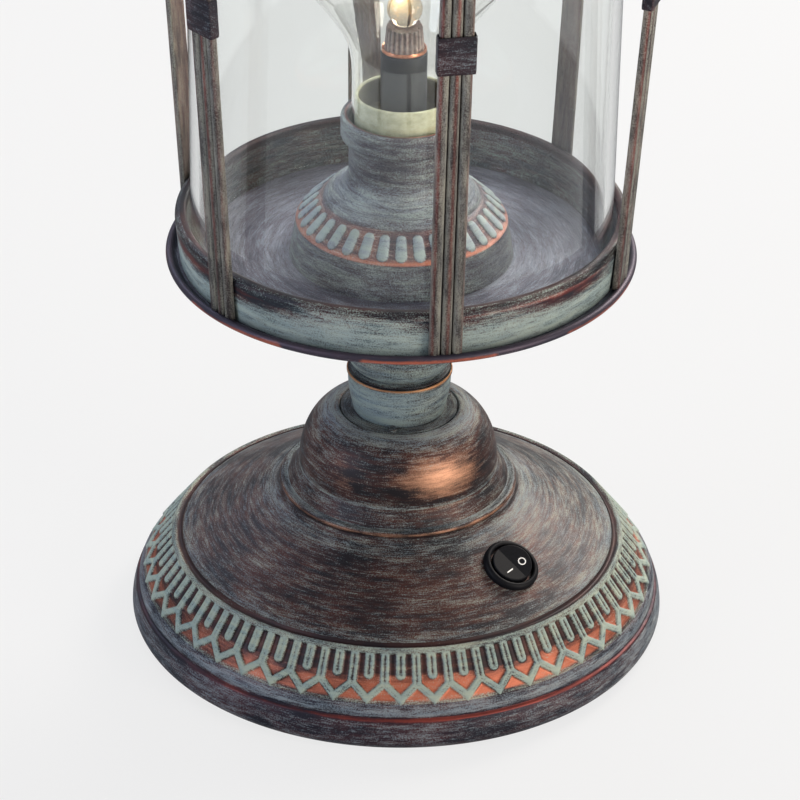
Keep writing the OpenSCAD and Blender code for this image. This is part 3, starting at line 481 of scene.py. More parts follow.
# %% Raise the motif
def border_outline():
    outline = line((BAND_TOP_R, BAND_TOP), (BORDER_TOP_R, BORDER_TOP), ROWS)
    outline += swell((BORDER_TOP_R, BORDER_TOP), (82.3, 34.4), 0.35, 6)[1:]
    outline += [(81.9, 34.2), (CONE_LOW_R + 0.25, 34.5), (CONE_LOW_R - 0.2, 35.5)]
    outline += [(CONE_LOW_R - 1.0, 34.4), (BORDER_TOP_R - 1.2, BORDER_TOP - 1)]
    return outline + [(BAND_TOP_R - 1.2, BAND_TOP - 0.2)]


def motif(across, up, half):
    """How far the sheet is pressed out, 0 to 1, and how much of a groove lies there.

    across is the distance from the nearest tongue's middle, up the distance up the slope, and half
    the distance from a tongue to a stem there, all in millimetres."""
    across = np.abs(across)
    beside = half - across
    foot = TONGUE_FOOT + TONGUE_HALF
    steep = (PEAK - LOW_POINT) / half
    off_leg = (up - LOW_POINT - steep * across) / np.sqrt(1 + steep**2)
    tongue = np.hypot(across, np.maximum(foot - up, 0)) - TONGUE_HALF
    stem = np.hypot(beside, np.maximum(PEAK - up, 0)) - STEM_HALF
    nearest = np.minimum.reduce([tongue, stem, np.abs(off_leg) - LEG_HALF, SLOT_TOP - up])
    raised = 1 - rise(nearest, -0.45, 0.4)
    below_ring = 1 - rise(up, SLOT_TOP - 1, SLOT_TOP - 0.1)
    groove = bump(across, 0, 0.46) * rise(up, foot - 1, foot + 0.4) * below_ring
    groove += bump(beside, 0, 0.44) * rise(up, PEAK - 0.5, PEAK + 1) * below_ring
    groove += (0.45 * bump(off_leg, -0.35, 0.35) * (1 - rise(up, PEAK - 1, PEAK + 0.3))
               * rise(up, LOW_POINT, LOW_POINT + 1.6))
    return raised, np.minimum(groove, 1) * raised


def emboss(piece, weights, height):
    """Pushes each point out along its normal, by its weight times the height in millimetres."""
    group = piece.vertex_groups.new(name="raised")
    levels = np.round(np.clip(weights, 0, 1) * 200).astype(int)
    for level in range(1, 201):
        points = np.flatnonzero(levels == level)
        if len(points):
            group.add(points.tolist(), level / 200, "REPLACE")
    modify(piece, "DISPLACE", direction="NORMAL", vertex_group="raised", mid_level=0,
           strength=height * MM)
    piece.vertex_groups.clear()
    return piece


def border_paint(piece, raised, groove, up, azimuth):
    """Wax on what is raised, and copper on the ground below the tongues. The copper is heaviest
    towards the front right, partly wear and partly a painted highlight. The slots, the grooves and the
    crease get painted shade and less wax; the grooves' painted shade is strongest across the front and
    the right.
    """
    glow = 0.3 + 0.7 * sector(azimuth, 15, 60) + 0.45 * sector(azimuth, 150, 40)
    glow += 0.4 * sector(azimuth, 262, 30)
    above_peaks = rise(up, 9.5, 11.5)
    low_ground, slots = (1 - raised) * (1 - above_peaks), (1 - raised) * above_peaks
    foot_band = 1 - rise(up, 0.6, 2.2)
    crease_shade = rise(up, slope_length + 1.2, slope_length + 2.2)
    lined = 0.2 + 0.8 * rise(azimuth, -34, -8) * (1 - rise(azimuth, 95, 125))
    groove = groove * np.clip(lined + 0.6 * (np.abs(azimuth) > 150), 0, 1)
    wax = 0.5 * raised - 0.65 * groove - 0.25 * low_ground - 0.4 * slots - 0.6 * crease_shade
    wax += 0.3 * foot_band - 0.3 * rise(up, 17.8, 18.4)
    copper = low_ground * glow * (0.5 + 0.3 * (1 - rise(up, 6.5, 9))) * (1 - 0.7 * foot_band)
    copper += 0.15 * slots * glow
    return paint(piece, wax, copper, 0.55 * groove + 0.5 * slots + 0.7 * crease_shade)


border = turn("foot_border", border_outline(), steps=TONGUES * COLUMNS, sharp=60)
r, z, azimuth = lathe_places(border)
up, above = up_slope(r, z, (BAND_TOP_R, BAND_TOP), (BORDER_TOP_R, BORDER_TOP))
across = round_from(azimuth, r, TONGUES, FIRST_TONGUE)
raised, groove = motif(across, up, np.radians(180 / TONGUES) * r)
beyond = np.where(above > -0.3, 0.9, 0)
on_face = (above > -0.3) & (up < slope_length + 0.01)
emboss(border, np.where(on_face, raised - 0.3 * groove, beyond), RELIEF)
border_paint(border, raised, groove, up, azimuth)
dress(border, "base", "patina_foot", "base_shell")
print("border points:", len(border.data.vertices))

# %% [markdown]
# ## The cone and the bell
#
# Above the border the sheet runs up in a plain cone to a rolled bead, spreads a little, and closes in
# a bell. These are long smooth curves, so the outline has many points on the curves, and the cone's
# straight line is divided too, because the wear is painted on its points.

# %% Spin the cone and the bell


def cone_outline():
    bell_h = foot_high - BELL_Z
    flare = BEAD_R - 0.9
    sunk = foot_high - RECESS_D
    outline = line((CONE_LOW_R, CONE_LOW - 0.6), (CONE_TOP_R, CONE_TOP), 24)
    outline += [(CONE_TOP_R - 0.9, CONE_TOP + 0.8), (CONE_TOP_R - 1.3, CONE_TOP + 1.6)]
    outline += arc((BEAD_R - 0.1, BEAD_Z), 1.2, 1.2, -48, 96, 10)
    outline += arc((flare, BELL_Z), flare - BELL_R, BELL_Z - BEAD_Z - 1.1, 268, 182, 16)
    outline += arc((RECESS_R, BELL_Z), BELL_R - RECESS_R, bell_h, 2, 88, 30)
    outline += [(RECESS_R, foot_high - 0.5), (RECESS_R - 0.1, sunk), (TUBE_HOLE_R, sunk)]
    outline += [(TUBE_HOLE_R, sunk - SHEET), (RECESS_R + 1, sunk - SHEET)]
    outline += arc((RECESS_R, BELL_Z), BELL_R - RECESS_R - SHEET, bell_h - SHEET, 78, 0, 8)
    outline += [(BEAD_R - 0.5, BEAD_Z - 0.8), (CONE_TOP_R - 1.5, CONE_TOP - 1.2)]
    return eased(outline + [(CONE_LOW_R - 0.8, CONE_LOW - 1.9)], 0.3)


# Painted light on the cone and the bell: the bell's copper, heaviest at the front right where the
# right-hand lamp's highlight falls, is partly wear and partly a painted highlight, and so is the bead's
# copper; the extra copper and wax on the cone's right side are painted sheen, and the little less wax
# at the front is painted shade; the creases get painted shade.
def cone_paint(piece):
    r, z, azimuth = lathe_places(piece)
    bead = bump(z, BEAD_Z + 0.1, 1.0) * bump(r, BEAD_R + 0.9, 1.6)
    bell = rise(z, 61, 66)
    cone = 1 - rise(z, CONE_TOP - 1, CONE_TOP + 1)
    wax = 0.4 * bump(z, 60.5, 2.8) + 0.4 * bump(z, 62.6, 2.6) + 0.34 * bump(r, 25, 4.5) * bell
    wax += cone * (0.24 * bump(r, CONE_TOP_R, 5) + 0.18 * bump(r, CONE_LOW_R, 4))
    wax += cone * (0.14 * sector(azimuth, 95, 50) + 0.03 * sector(azimuth, 240, 60))
    wax -= cone * 0.04 * sector(azimuth, 0, 50)
    wear_and_highlight = sector(azimuth, 28, 34) + 0.5 * sector(azimuth, -32, 12) + 0.8 * sector(azimuth, 150, 30)
    wear_and_highlight += 0.7 * sector(azimuth, 250, 25)
    glow = bell * bump(z, 74, 8) * wear_and_highlight
    wax -= 0.3 * glow + 0.35 * bead
    copper = 0.62 * glow + 0.5 * bead * (0.5 + 0.5 * sector(azimuth, 20, 70))
    copper += 0.12 * cone * sector(azimuth, 75, 45)
    crease_shade = bump(z, CONE_TOP + 1.3, 0.8) + bump(z, BEAD_Z + 1.4, 0.5) + bump(r, CONE_LOW_R, 0.5) * cone
    return paint(piece, wax, copper, 0.6 * crease_shade)


cone = turn("foot_cone", cone_outline(), steps=288)
dress(cone_paint(cone), "base", "patina_foot", "base_shell")
print("cone and bell points:", len(cone.data.vertices))

# %% [markdown]
# ## The felt pad
#
# A disc of pressed wool felt is glued under the foot, so that it doesn't mark the table. Felt has no
# crisp edge: the disc is turned with rounded rims, and its surface is left to the material.

# %% Turn the felt disc
felt_low, felt_high, felt_r = span("felt_pad")
FELT_EDGE = 0.35
felt = [(0, felt_low)] + line((2, felt_low), (felt_r - 0.4, felt_low), 20)
felt += [(felt_r, felt_low + FELT_EDGE), (felt_r, felt_high - FELT_EDGE)]
felt += line((felt_r - 0.4, felt_high), (2, felt_high), 20) + [(0, felt_high)]
dress(turn("felt_disc", felt, steps=160, closed=False), "base", "felt", "felt_pad")
print("felt disc:", round(2 * felt_r, 1), "mm across")

# %% [markdown]
# ## The neck
#
# A shallow turned ring stands in the recess of the bell. Its upper edge is left sharp and is rubbed to
# bright copper. The vase above it is full just over that edge, draws in to a waist under the tray, and
# spreads to carry it.

# %% Turn the neck ring and the vase
RING_FOOT_R = 16.9


def neck_ring_outline():
    """A ring that widens like a cup to its sharp upper edge."""
    low, high, widest = span("neck_ring")
    side = high - low - 2
    outline = [(TUBE_HOLE_R, low), (RING_FOOT_R, low)]
    for i in range(1, 11):
        wide = RING_FOOT_R + (widest - RING_FOOT_R - 0.5) * math.sin(math.radians(9 * i))
        outline.append((wide, low + side * i / 10))
    outline += [(widest - 0.05, high - 1.0), (widest, high - 0.35), (widest - 0.25, high)]
    outline += [(widest - 1.1, high - 0.1), (widest - 1.6, high - 1.2), (TUBE_HOLE_R, high - 1.2)]
    return eased(outline, 0.2)


def vase_outline():
    low, high, widest = span("neck_vase")
    middle = (low + high) / 2
    outline = [(TUBE_HOLE_R, low - 0.6), (18.2, low - 0.6), (18.7, low + 0.6)]
    outline += arc((12, low + 8.5), 7.8, 8.5, -58, 70, 14)
    outline += arc((20, middle + 3), 9, 6, 215, 180, 6)
    outline += arc((widest - 1.5, middle + 3), widest - 12.5, high - middle - 6, 180, 96, 14)
    return eased(outline + [(widest, high - 2.6), (widest, high), (TUBE_HOLE_R, high)], 0.3)


# The copper on the sharp upper edge is wear. The browner, coppery side towards the front right is a
# painted highlight, with a second brown patch at the back that is wear, and the extra wax towards the
# front left is a painted reflection.
def neck_paint(piece):
    r, z, azimuth = lathe_places(piece)
    edge = bump(z, span("neck_ring")[1], 0.9) * rise(r, 18.6, 19.2)
    wax = 0.22 + 0.15 * sector(azimuth, -20, 50) - 0.6 * edge
    brown = 0.35 * sector(azimuth, 38, 22) + 0.2 * sector(azimuth, 190, 40)
    return paint(piece, wax - 0.3 * brown, 0.8 * edge + 0.7 * brown * rise(z, 92, 99), 0)


# Painted shade in the seam where the vase meets the ring: the seam amount darkens it and takes wax off.
def vase_paint(piece):
    z, azimuth = lathe_places(piece)[1:]
    low = span("neck_vase")[0]
    seam_shade = bump(z, low, 0.7)
    wax = 0.16 * bump(z, low + 5, 5) + 0.05 - 0.5 * seam_shade
    return paint(piece, wax, 0.5 * bump(z, low + 9, 2.5) * sector(azimuth, -60, 35), seam_shade)


neck_ring = turn("neck_ring_turned", neck_ring_outline(), steps=160)
dress(neck_paint(neck_ring), "base", "patina_neck", "neck_ring")
vase = turn("neck_vase_turned", vase_outline(), steps=160)
dress(vase_paint(vase), "base", "patina_neck", "neck_vase")
print("neck points:", len(neck_ring.data.vertices) + len(vase.data.vertices))

# %% [markdown]
# ## Tray and galleries
#
# The tray is a flat spun dish with a wire-thick rolled rim. On it stands the gallery, an upside-down
# channel with a rounded lip that keeps the glass in place. The same channel hangs under the crown
# plate round the top of the glass.

# %% Spin the tray, the crown plate and the galleries
ROLL_R = 1.5
GALLERY_SHEET = 1.0
LIP_W = 4.2
CROWN_BORE_R = 50


def tray_outline(node, bore):
    low, high, widest = span(node)
    top = low + SHEET
    outline = [(bore, low)] + line((bore + 2, low), (widest - 2 * ROLL_R - 0.6, low), 12)
    outline += arc((widest - ROLL_R, high - ROLL_R), ROLL_R, ROLL_R, 205, 510, 28)
    outline += line((widest - 2 * ROLL_R - 1, top), (bore + 2, top), 30)
    return eased(outline + [(bore, top)], 0.2)


def gallery_outline(low, high, flare, widest):
    """Section of the channel, open side down, with its foot at low and its lip at high."""
    shoulder = high - 2.4
    inner = widest - LIP_W
    outside = line((widest - flare, low), (widest, shoulder), 10)[:-1]
    outside += arc((widest - 2.4, shoulder), 2.4, 2.4, 0, 90, 10)
    outside += arc((widest - LIP_W + 1.2, high - 1.2), 1.2, 1.2, 95, 180, 8)
    outside += line((inner, high - 1.6), (inner, low), 10)
    inside = [(inner + GALLERY_SHEET, low), (inner + GALLERY_SHEET, high - 1.8)]
    inside += [(inner + 1.8, high - GALLERY_SHEET)] + arc((widest - 2.4, shoulder), 1.4, 1.4, 85, 0, 5)
    return eased(outside + inside + [(widest - flare - GALLERY_SHEET, low)], 0.2)


# The copper on top of the rolled rim lies in patches and is heaviest at the front and the back: partly
# wear, partly a painted highlight. The crease inside the roll gets painted shade.
def tray_paint(piece, node):
    r, z, azimuth = lathe_places(piece)
    floor = span(node)[0] + SHEET
    widest = span(node)[2]
    roll = rise(r, widest - 3.2, widest - 2.6)
    in_patch = np.sin(np.radians(azimuth * 7 + 40)) > -0.35
    wear_and_highlight = 0.15 + 0.85 * in_patch * (0.45 + 0.55 * sector(azimuth, 0, 75))
    wear_and_highlight += 0.4 * sector(azimuth, 180, 60)
    joint = bump(r, 76.6, 0.7) * (z > floor - 0.3)
    wax = 0.04 + 0.2 * joint + 0.06 * sector(azimuth, 80, 60)
    wax -= roll * (0.12 + 0.3 * rise(z, floor - 0.6, floor + 0.6))
    copper = 0.8 * roll * wear_and_highlight * bump(z, floor - 0.15, 1.0) * rise(r, widest - 1.6, widest - 0.6)
    return paint(piece, wax, copper, 0.6 * bump(r, widest - 3.1, 0.5))


# The red patches on the outer wall are wear. The rounded lip is darkened with the shade amount, as
# painted shade. The copper line along the shoulder, only towards the front right, where it also takes
# the shade away, is a painted highlight.
def gallery_paint(piece, high, top_up):
    r, z, azimuth = lathe_places(piece)
    below = (high - z) if top_up else (z - high)
    outer = rise(r, 79.3, 79.8)
    red = sector(azimuth, -42, 17) + sector(azimuth, 47, 15) + 0.7 * sector(azimuth, 12, 9)
    red += sector(azimuth, 128, 24) + sector(azimuth, 222, 20) + sector(azimuth, 292, 14)
    wear_and_highlight = np.clip(red, 0, 1) * (1 - rise(below, 3.5, 9.5)) * rise(below, 2.2, 3) * outer
    lip = 1 - rise(below, 2.0, 2.9)
    inner = 1 - rise(r, 78, 78.6)
    wax = outer * (0.3 + 0.12 * rise(below, 6, 12)) - 0.7 * wear_and_highlight - 0.35 * lip + 0.05 * inner
    edge = bump(below, 2.4, 0.5) * outer * sector(azimuth, 40, 45)
    return paint(piece, wax, 0.3 * wear_and_highlight + 0.5 * edge, 0.8 * lip + 0.2 * wear_and_highlight - 0.6 * edge)


for plate_name, plate_node, bore, name, node, flare, top_up in (
        ("tray_spun", "tray", TUBE_HOLE_R, "gallery_spun", "lower_gallery", 1.5, True),
        ("crown_spun", "crown_plate", CROWN_BORE_R, "gallery_hung", "upper_gallery", 0.75, False)):
    plate = turn(plate_name, tray_outline(plate_node, bore), steps=256)
    dress(tray_paint(plate, plate_node), "base", "patina_tray", plate_node)
    low, high, widest = span(node)
    outline = gallery_outline(low, high, flare, widest)
    if not top_up:
        outline = [(r, low + high - z) for r, z in outline]
    gallery = turn(name, outline, steps=256)
    gallery_paint(gallery, high if top_up else low, top_up)
    dress(gallery, "base", "patina_gallery", node)
    print(name, "is", round(2 * widest, 1), "mm across")

# %% [markdown]
# ## Posts and collars
#
# Each post is a strip of reeded brass moulding: three round reeds side by side with narrow grooves
# between. Its section is drawn once, extruded to the post's length, leaned outwards, cut level at the
# foot and at the crown with the bisect operator, and copied round. A box-shaped collar is slipped over
# each post half-way up. The reeds' crowns are rubbed down to red-brown, and wax sits on their flanks.

# %% Measures of a post
POSTS = 6
FIRST_POST = 11
LEAN = math.radians(3.5)
POST_W = 11.8
POST_D = 2.6
POST_BACK = 80.79
POST_SPARE = 12
COLLAR_H = 13.9
COLLAR_UP = 108.5
COLLAR_GAP = 0.72
tray_rim_top = span("tray")[1]
crown_low = span("crown_plate")[0]
print("posts run from", round(tray_rim_top, 1), "to", round(crown_low, 1))

# %% Make a post and a collar once


def reeded_section():
    """Three reeds on a thin back: x out of the strip, y across it."""
    points = [(0.3, -POST_W / 2)]
    for k in (-1, 0, 1):
        points += arc((POST_D - 1.55, k * POST_W / 3), 1.55, POST_W / 6 - 0.12, -82, 82, 12)
    return eased(points + [(0.3, POST_W / 2), (0, POST_W / 2 - 0.4), (0, -POST_W / 2 + 0.4)], 0.12)


def level_cut(piece, height, keep_above):
    """Cuts the piece at a height in millimetres and closes it."""
    pick(piece)
    bpy.ops.object.mode_set(mode="EDIT")
    bpy.ops.mesh.select_all(action="SELECT")
    bpy.ops.mesh.bisect(
        plane_co=(0, 0, height * MM), plane_no=(0, 0, 1), use_fill=True,
        clear_inner=keep_above, clear_outer=not keep_above)
    bpy.ops.mesh.select_all(action="SELECT")
    bpy.ops.mesh.normals_make_consistent(inside=False)
    bpy.ops.object.mode_set(mode="OBJECT")
    return piece


# The grooves between the reeds get painted shade and no wax; the red-brown on the reeds' crowns is
# wear.
def post_paint(piece):
    x, y, z = places(piece).T
    reed = POST_W / 3
    off_crown = np.abs((y + reed / 2) % reed - reed / 2) / (reed / 2)
    crown = (1 - rise(off_crown, 0.35, 0.7)) * rise(x, 1.2, 1.9)
    groove = rise(off_crown, 0.84, 0.96) * (np.abs(y) < POST_W / 2 - 0.8)
    drift = 0.6 + 0.4 * np.sin(z / 17 + 1) * np.sin(z / 7.3 + 2)
    red = (bump(y, -5.1, 1.0) + 0.9 * bump(y, 0.3, 1.0) + 0.8 * bump(y, 5.3, 0.8)) * drift
    wax = 0.12 - 0.42 * red + 0.12 * rise(off_crown, 0.45, 0.75) - 0.05 * crown - 0.7 * groove
    return paint(piece, wax, 0.95 * red, 0.95 * groove)


post = extrude("post", reeded_section(), (0, 0, crown_low - tray_rim_top + 2 * POST_SPARE))
soften(post, 0.15, 60)
post.data.transform(shift(0, 0, -POST_SPARE))
post_paint(post)
lean_out = shift(POST_BACK, 0, tray_rim_top) @ Matrix.Rotation(LEAN, 4, "Y")
post.data.transform(lean_out)
level_cut(post, tray_rim_top - 0.4, True)
level_cut(post, crown_low, False)
print("post points:", len(post.data.vertices))

# %% Make a collar and set all of them round


def collar_outline():
    """Rounded box round the strip, x out of it and y across."""
    back, face, side = -COLLAR_GAP, POST_D + COLLAR_GAP, POST_W / 2 + COLLAR_GAP
    return eased([(back, -side), (face, -side), (face, side), (back, side)], 0.8, 4)


# The collar's ends get painted shade where they close round the post.
def collar_paint(piece):
    x, y, z = places(piece).T
    face = rise(x, 2.4, 3.2)
    middle = bump(y, 0.6, 3.2) * face
    ends = bump(z, 0, 1.0) + bump(z, COLLAR_H, 1.0)
    return paint(piece, 0.3 * middle - 0.1 - 0.15 * ends, 0.3 * rise(-y, 2.5, 5) * face, 0.25 * ends)


collar = draw([(x, y, 0) for x, y in collar_outline() + collar_outline()[:1]])
bpy.ops.mesh.remove_doubles(threshold=1e-6)
for step in (0.5, 0.7, 5.75, 5.75, 0.7, 0.5):
    bpy.ops.mesh.extrude_edges_move(TRANSFORM_OT_translate={"value": (0, 0, step * MM)})
close_up(collar, "collar")
x, y, z = places(collar).T
ends = (z < 0.9) | (z > COLLAR_H - 0.9)
for vertex, at_end in zip(collar.data.vertices, ends):
    if at_end:
        vertex.co.x = (vertex.co.x - POST_D / 2 * MM) * 0.97 + POST_D / 2 * MM
        vertex.co.y *= 0.987
modify(collar, "SOLIDIFY", thickness=0.5 * MM, offset=-1)
soften(collar, 0.18, 50)
bpy.ops.object.shade_smooth_by_angle(angle=math.radians(40))
collar_paint(collar)
collar.data.transform(shift(0, 0, COLLAR_UP))
collar.data.transform(lean_out)
for i in range(POSTS):
    facing = Matrix.Rotation(math.radians(FIRST_POST - 90 + i * 360 / POSTS), 4, "Z")
    dress(copy_of(post, f"post_{i + 1}_reeded", facing), "base", "patina_post", f"post_{i + 1}")
    dress(copy_of(collar, f"collar_{i + 1}_box", facing), "base", "patina_collar", f"collar_{i + 1}")
bpy.data.objects.remove(post)
bpy.data.objects.remove(collar)
print("posts and collars:", POSTS)

# %% [markdown]
# ## The glass cylinder
#
# A cut length of borosilicate tube with fire-polished ends. Light bends at both of its surfaces, so it
# has a real wall, with rounded ends and enough steps that no facet shows in what is seen through it.

# %% Turn the glass
glass_low, glass_high, glass_r = span("glass_cylinder")
GLASS_WALL = 3.2
END_H = 1.6
bore_r = glass_r - GLASS_WALL
middle_r = glass_r - GLASS_WALL / 2
tube = [(glass_r, glass_low + END_H)]
tube += line((glass_r, glass_low + 2), (glass_r, glass_high - 1.7), 12)
tube += arc((middle_r, glass_high - END_H), GLASS_WALL / 2, END_H, 0, 180, 12)
tube += line((bore_r, glass_high - 1.7), (bore_r, glass_low + 2), 12)
tube += arc((middle_r, glass_low + END_H), GLASS_WALL / 2, END_H, 180, 345, 11)
dress(turn("glass_tube", tube, steps=320, sharp=60), "base", "chimney_glass", "glass_cylinder")
print("glass tube:", round(glass_high - glass_low, 1), "mm high")

# %% [markdown]
# ## The lampholder's cover
#
# A small spun cup hides the lampholder. Its sloping shoulder is pressed with round-ended flutes, again
# an embossing, so it is made like the border: a fine spun mesh and a Displace modifier. A turned ring
# screws down on its neck.

# %% Spin and emboss the cover
cover_low, cover_high, cover_r = span("holder_cover")
FLUTES = 34
FLUTE_HALF = 2.2
FLUTE_RELIEF = 0.9
SKIRT_TOP = cover_low + 13
SLOPE_LOW = (37.7, SKIRT_TOP + 0.6)
SLOPE_TOP = (29.1, SKIRT_TOP + 8.6)
NECK_R = 19.3
DOME_TOP = cover_low + 34.3
SWEEP_R = 26.9
slope_run = math.hypot(SLOPE_TOP[0] - SLOPE_LOW[0], SLOPE_TOP[1] - SLOPE_LOW[1])


def cover_outline():
    outline = [(cover_r, cover_low)]
    outline += line((cover_r - 0.1, cover_low + 0.6), (38.2, SKIRT_TOP - 0.5), 8)
    outline += [(38.25, SKIRT_TOP), (38.1, SKIRT_TOP + 0.3)]
    outline += line(SLOPE_LOW, SLOPE_TOP, 28) + [(28.5, SLOPE_TOP[1] + 0.15)]
    outline += arc((24.4, SLOPE_TOP[1] + 0.3), 3.6, 3.0, 4, 60, 7)
    outline += arc((SWEEP_R, DOME_TOP), SWEEP_R - NECK_R, DOME_TOP - SLOPE_TOP[1] - 3.3, 264, 182, 16)
    outline += line((NECK_R, DOME_TOP + 1), (NECK_R, cover_high), 4)
    outline += [(NECK_R - 1, cover_high), (NECK_R - 1, DOME_TOP - 1), (24, SLOPE_TOP[1] + 0.8)]
    return outline + [(36.2, SKIRT_TOP - 0.6), (cover_r - 1, cover_low)]


def flute_weights(piece):
    """1 on the middle of each flute, falling like a vault to its sides and its round ends."""
    r, z, azimuth = lathe_places(piece)
    up, above = up_slope(r, z, SLOPE_LOW, SLOPE_TOP)
    wide = FLUTE_HALF * r / SLOPE_LOW[0]
    low_end, high_end = 0.7 + wide, slope_run - 0.9 - wide
    beyond = np.maximum(np.maximum(low_end - up, up - high_end), 0)
    off = np.hypot(round_from(azimuth, r, FLUTES), beyond) / wide
    return np.where(above > -0.4, np.sqrt(np.clip(1.08 - off**2, 0, 1)), 0)


# The copper line under the shoulder is heaviest towards the front right, partly wear and partly a
# painted highlight.
def cover_paint(piece, flutes):
    z, azimuth = lathe_places(piece)[1:]
    slope = rise(z, SKIRT_TOP - 0.4, SKIRT_TOP + 0.4)
    slope *= 1 - rise(z, SLOPE_TOP[1], SLOPE_TOP[1] + 0.8)
    line_under = bump(z, SKIRT_TOP + 0.7, 0.7)
    glow = 0.35 + 0.65 * sector(azimuth, 22, 38) + 0.4 * sector(azimuth, 200, 50)
    wax = 0.05 + 0.42 * rise(flutes, 0.15, 0.7) - slope * (0.2 - 0.2 * rise(flutes, 0.1, 0.5))
    wax += 0.14 * bump(z, DOME_TOP - 7, 3.5) - 0.06 * rise(z, DOME_TOP, DOME_TOP + 2)
    copper = slope * (0.3 - 0.3 * rise(flutes, 0.1, 0.4))
    copper += 0.55 * line_under * glow * (1 - rise(flutes, 0.2, 0.5))
    return paint(piece, wax, copper, 0)


cover = turn("cover_spun", cover_outline(), steps=FLUTES * 26, sharp=50)
flutes = flute_weights(cover)
emboss(cover, flutes, FLUTE_RELIEF)
dress(cover_paint(cover, flutes), "base", "patina_cover", "holder_cover")
print("cover points:", len(cover.data.vertices))

# %% Turn the ring on the cover's neck
ring_low, ring_high, ring_r = span("holder_ring")
RING_BORE_R = 17.4
RING_SEAT_R = 19.2
SEAT_H = 1.8
ring = [(RING_BORE_R, ring_low), (ring_r - 1.5, ring_low), (ring_r - 0.4, ring_low + 0.5)]
ring += [(ring_r, ring_low + 1.6)] + line((ring_r, ring_low + 2.2), (ring_r, ring_high - 1.2), 5)
ring += [(ring_r - 0.4, ring_high - 0.3), (ring_r - 1, ring_high), (ring_r - 1.9, ring_high - 0.05)]
ring += [(ring_r - 2.2, ring_high - 0.35), (RING_SEAT_R, ring_high - 0.9)]
ring += [(RING_SEAT_R, ring_low + SEAT_H), (RING_BORE_R, ring_low + SEAT_H)]
ring = turn("holder_ring_turned", eased(ring, 0.25), steps=160)
r, z, azimuth = lathe_places(ring)
# The copper on the ring's top edge and the coppery side towards the front right are partly wear and
# partly a painted highlight.
top_edge = bump(z, ring_high, 0.45) * bump(r, ring_r - 1.9, 0.7)
worn_and_highlit_side = 0.35 + 0.65 * sector(azimuth, 30, 55)
wax = 0.1 - 0.12 * sector(azimuth, 20, 60) - 0.3 * top_edge
paint(ring, wax, 0.95 * top_edge * worn_and_highlit_side + 0.12 * worn_and_highlit_side, 0)
dress(ring, "base", "patina_cover", "holder_ring")
print("ring radius:", round(ring_r, 1))

# %% [markdown]
# ## The bulb
#
# A large clear globe bulb of the old pattern: a blown envelope with a long straight neck, a pale
# cement collar inside it, a dark pillar with a copper ring and a ribbed sleeve, a small ball of glass
# drawn up into a stem, and lit amber filament strips round the stem. The envelope is turned as a thin
# wall, inside and outside, so that it refracts and reflects like blown glass.

# %% Turn the envelope
bulb_low, bulb_high, bulb_r = span("bulb_glass")
BULB_NECK_R = 18.3
BULB_NECK_H = 20.5
BULB_WALL = 0.8


def bulb_outline(inset):
    """Neck, flare and globe of the envelope, moved in by inset."""
    middle = bulb_high - bulb_r
    globe = bulb_r - inset
    join = math.radians(35)
    low = Vector((globe * math.cos(join), middle - globe * math.sin(join)))
    start = Vector((BULB_NECK_R - inset, bulb_low + BULB_NECK_H))
    pull = (low.y - start.y) * 0.5
    first = start + Vector((0, pull))
    second = low - Vector((math.sin(join), math.cos(join))) * pull
    points = line((BULB_NECK_R - inset, bulb_low), tuple(start), 6)[:-1]
    for i in range(25):
        t = i / 24
        p = (1 - t) ** 3 * start + 3 * (1 - t) ** 2 * t * first
        p += 3 * (1 - t) * t * t * second + t**3 * low
        points.append((p.x, p.y))
    return points + arc((0, middle), globe, globe, -33, 90, 40)


envelope = turn("bulb_envelope", bulb_outline(0) + bulb_outline(BULB_WALL)[::-1], steps=160, sharp=60)
dress(envelope, "bulb", "bulb_glass", "bulb_glass")
print("envelope points:", len(envelope.data.vertices))

# %% Turn what stands inside the envelope
pillar_low, pillar_high, pillar_r = span("bulb_pillar")
cement_low, cement_high, cement_r = span("neck_cement")
sleeve_low, sleeve_high, sleeve_r = span("pillar_cap")
ball_low, ball_high = span("stem_ball")[:2]
cap_low, cap_high = span("bulb_cap")[:2]
CEMENT_FLOOR = 4.2
RIBS = 22
RIB_POINTS = 264
RIB_R = 6.9
CUP_H = 3
CUP_SHARE = 0.9
DROP_R = 6.35
DROP_H = 6.0
GLINT_SPOT = (-1.9, -3.2, 11.1)
THREADS = 5
THREAD_PITCH = 3.1

cement = [(pillar_r + 0.2, cement_low), (cement_r, cement_low), (cement_r, cement_high - 0.5)]
cement += [(cement_r - 0.4, cement_high), (cement_r - 1.1, cement_high)]
cement += [(cement_r - 1.5, cement_high - 0.5)]
cement += line((cement_r - 1.6, cement_high - 1), (cement_r - 1.9, cement_low + 5), 8)
cement += [(pillar_r + 0.2, cement_low + CEMENT_FLOOR)]
cement = turn("cement_collar", eased(cement, 0.4), steps=128)
r, z, azimuth = lathe_places(cement)
# Painted shade: the hollow inside the collar is darkened towards the cement's deep colour.
hollow = 1 - rise(r, cement_r - 1.5, cement_r - 0.9)
hollow *= 1 - rise(z, cement_high - 1.2, cement_high - 0.1)
dress(paint(cement, 0, 0, hollow), "bulb", "cement", "neck_cement")

pillar = [(0, pillar_low), (pillar_r, pillar_low)]
pillar += line((pillar_r, pillar_low + 1), (pillar_r, pillar_high - 0.6), 10)
pillar += [(pillar_r - 0.5, pillar_high), (0, pillar_high)]
pillar = turn("pillar_turned", eased(pillar, 0.3, closed=False), steps=96, closed=False)
dress(paint(pillar), "bulb", "pillar_dark", "bulb_pillar")

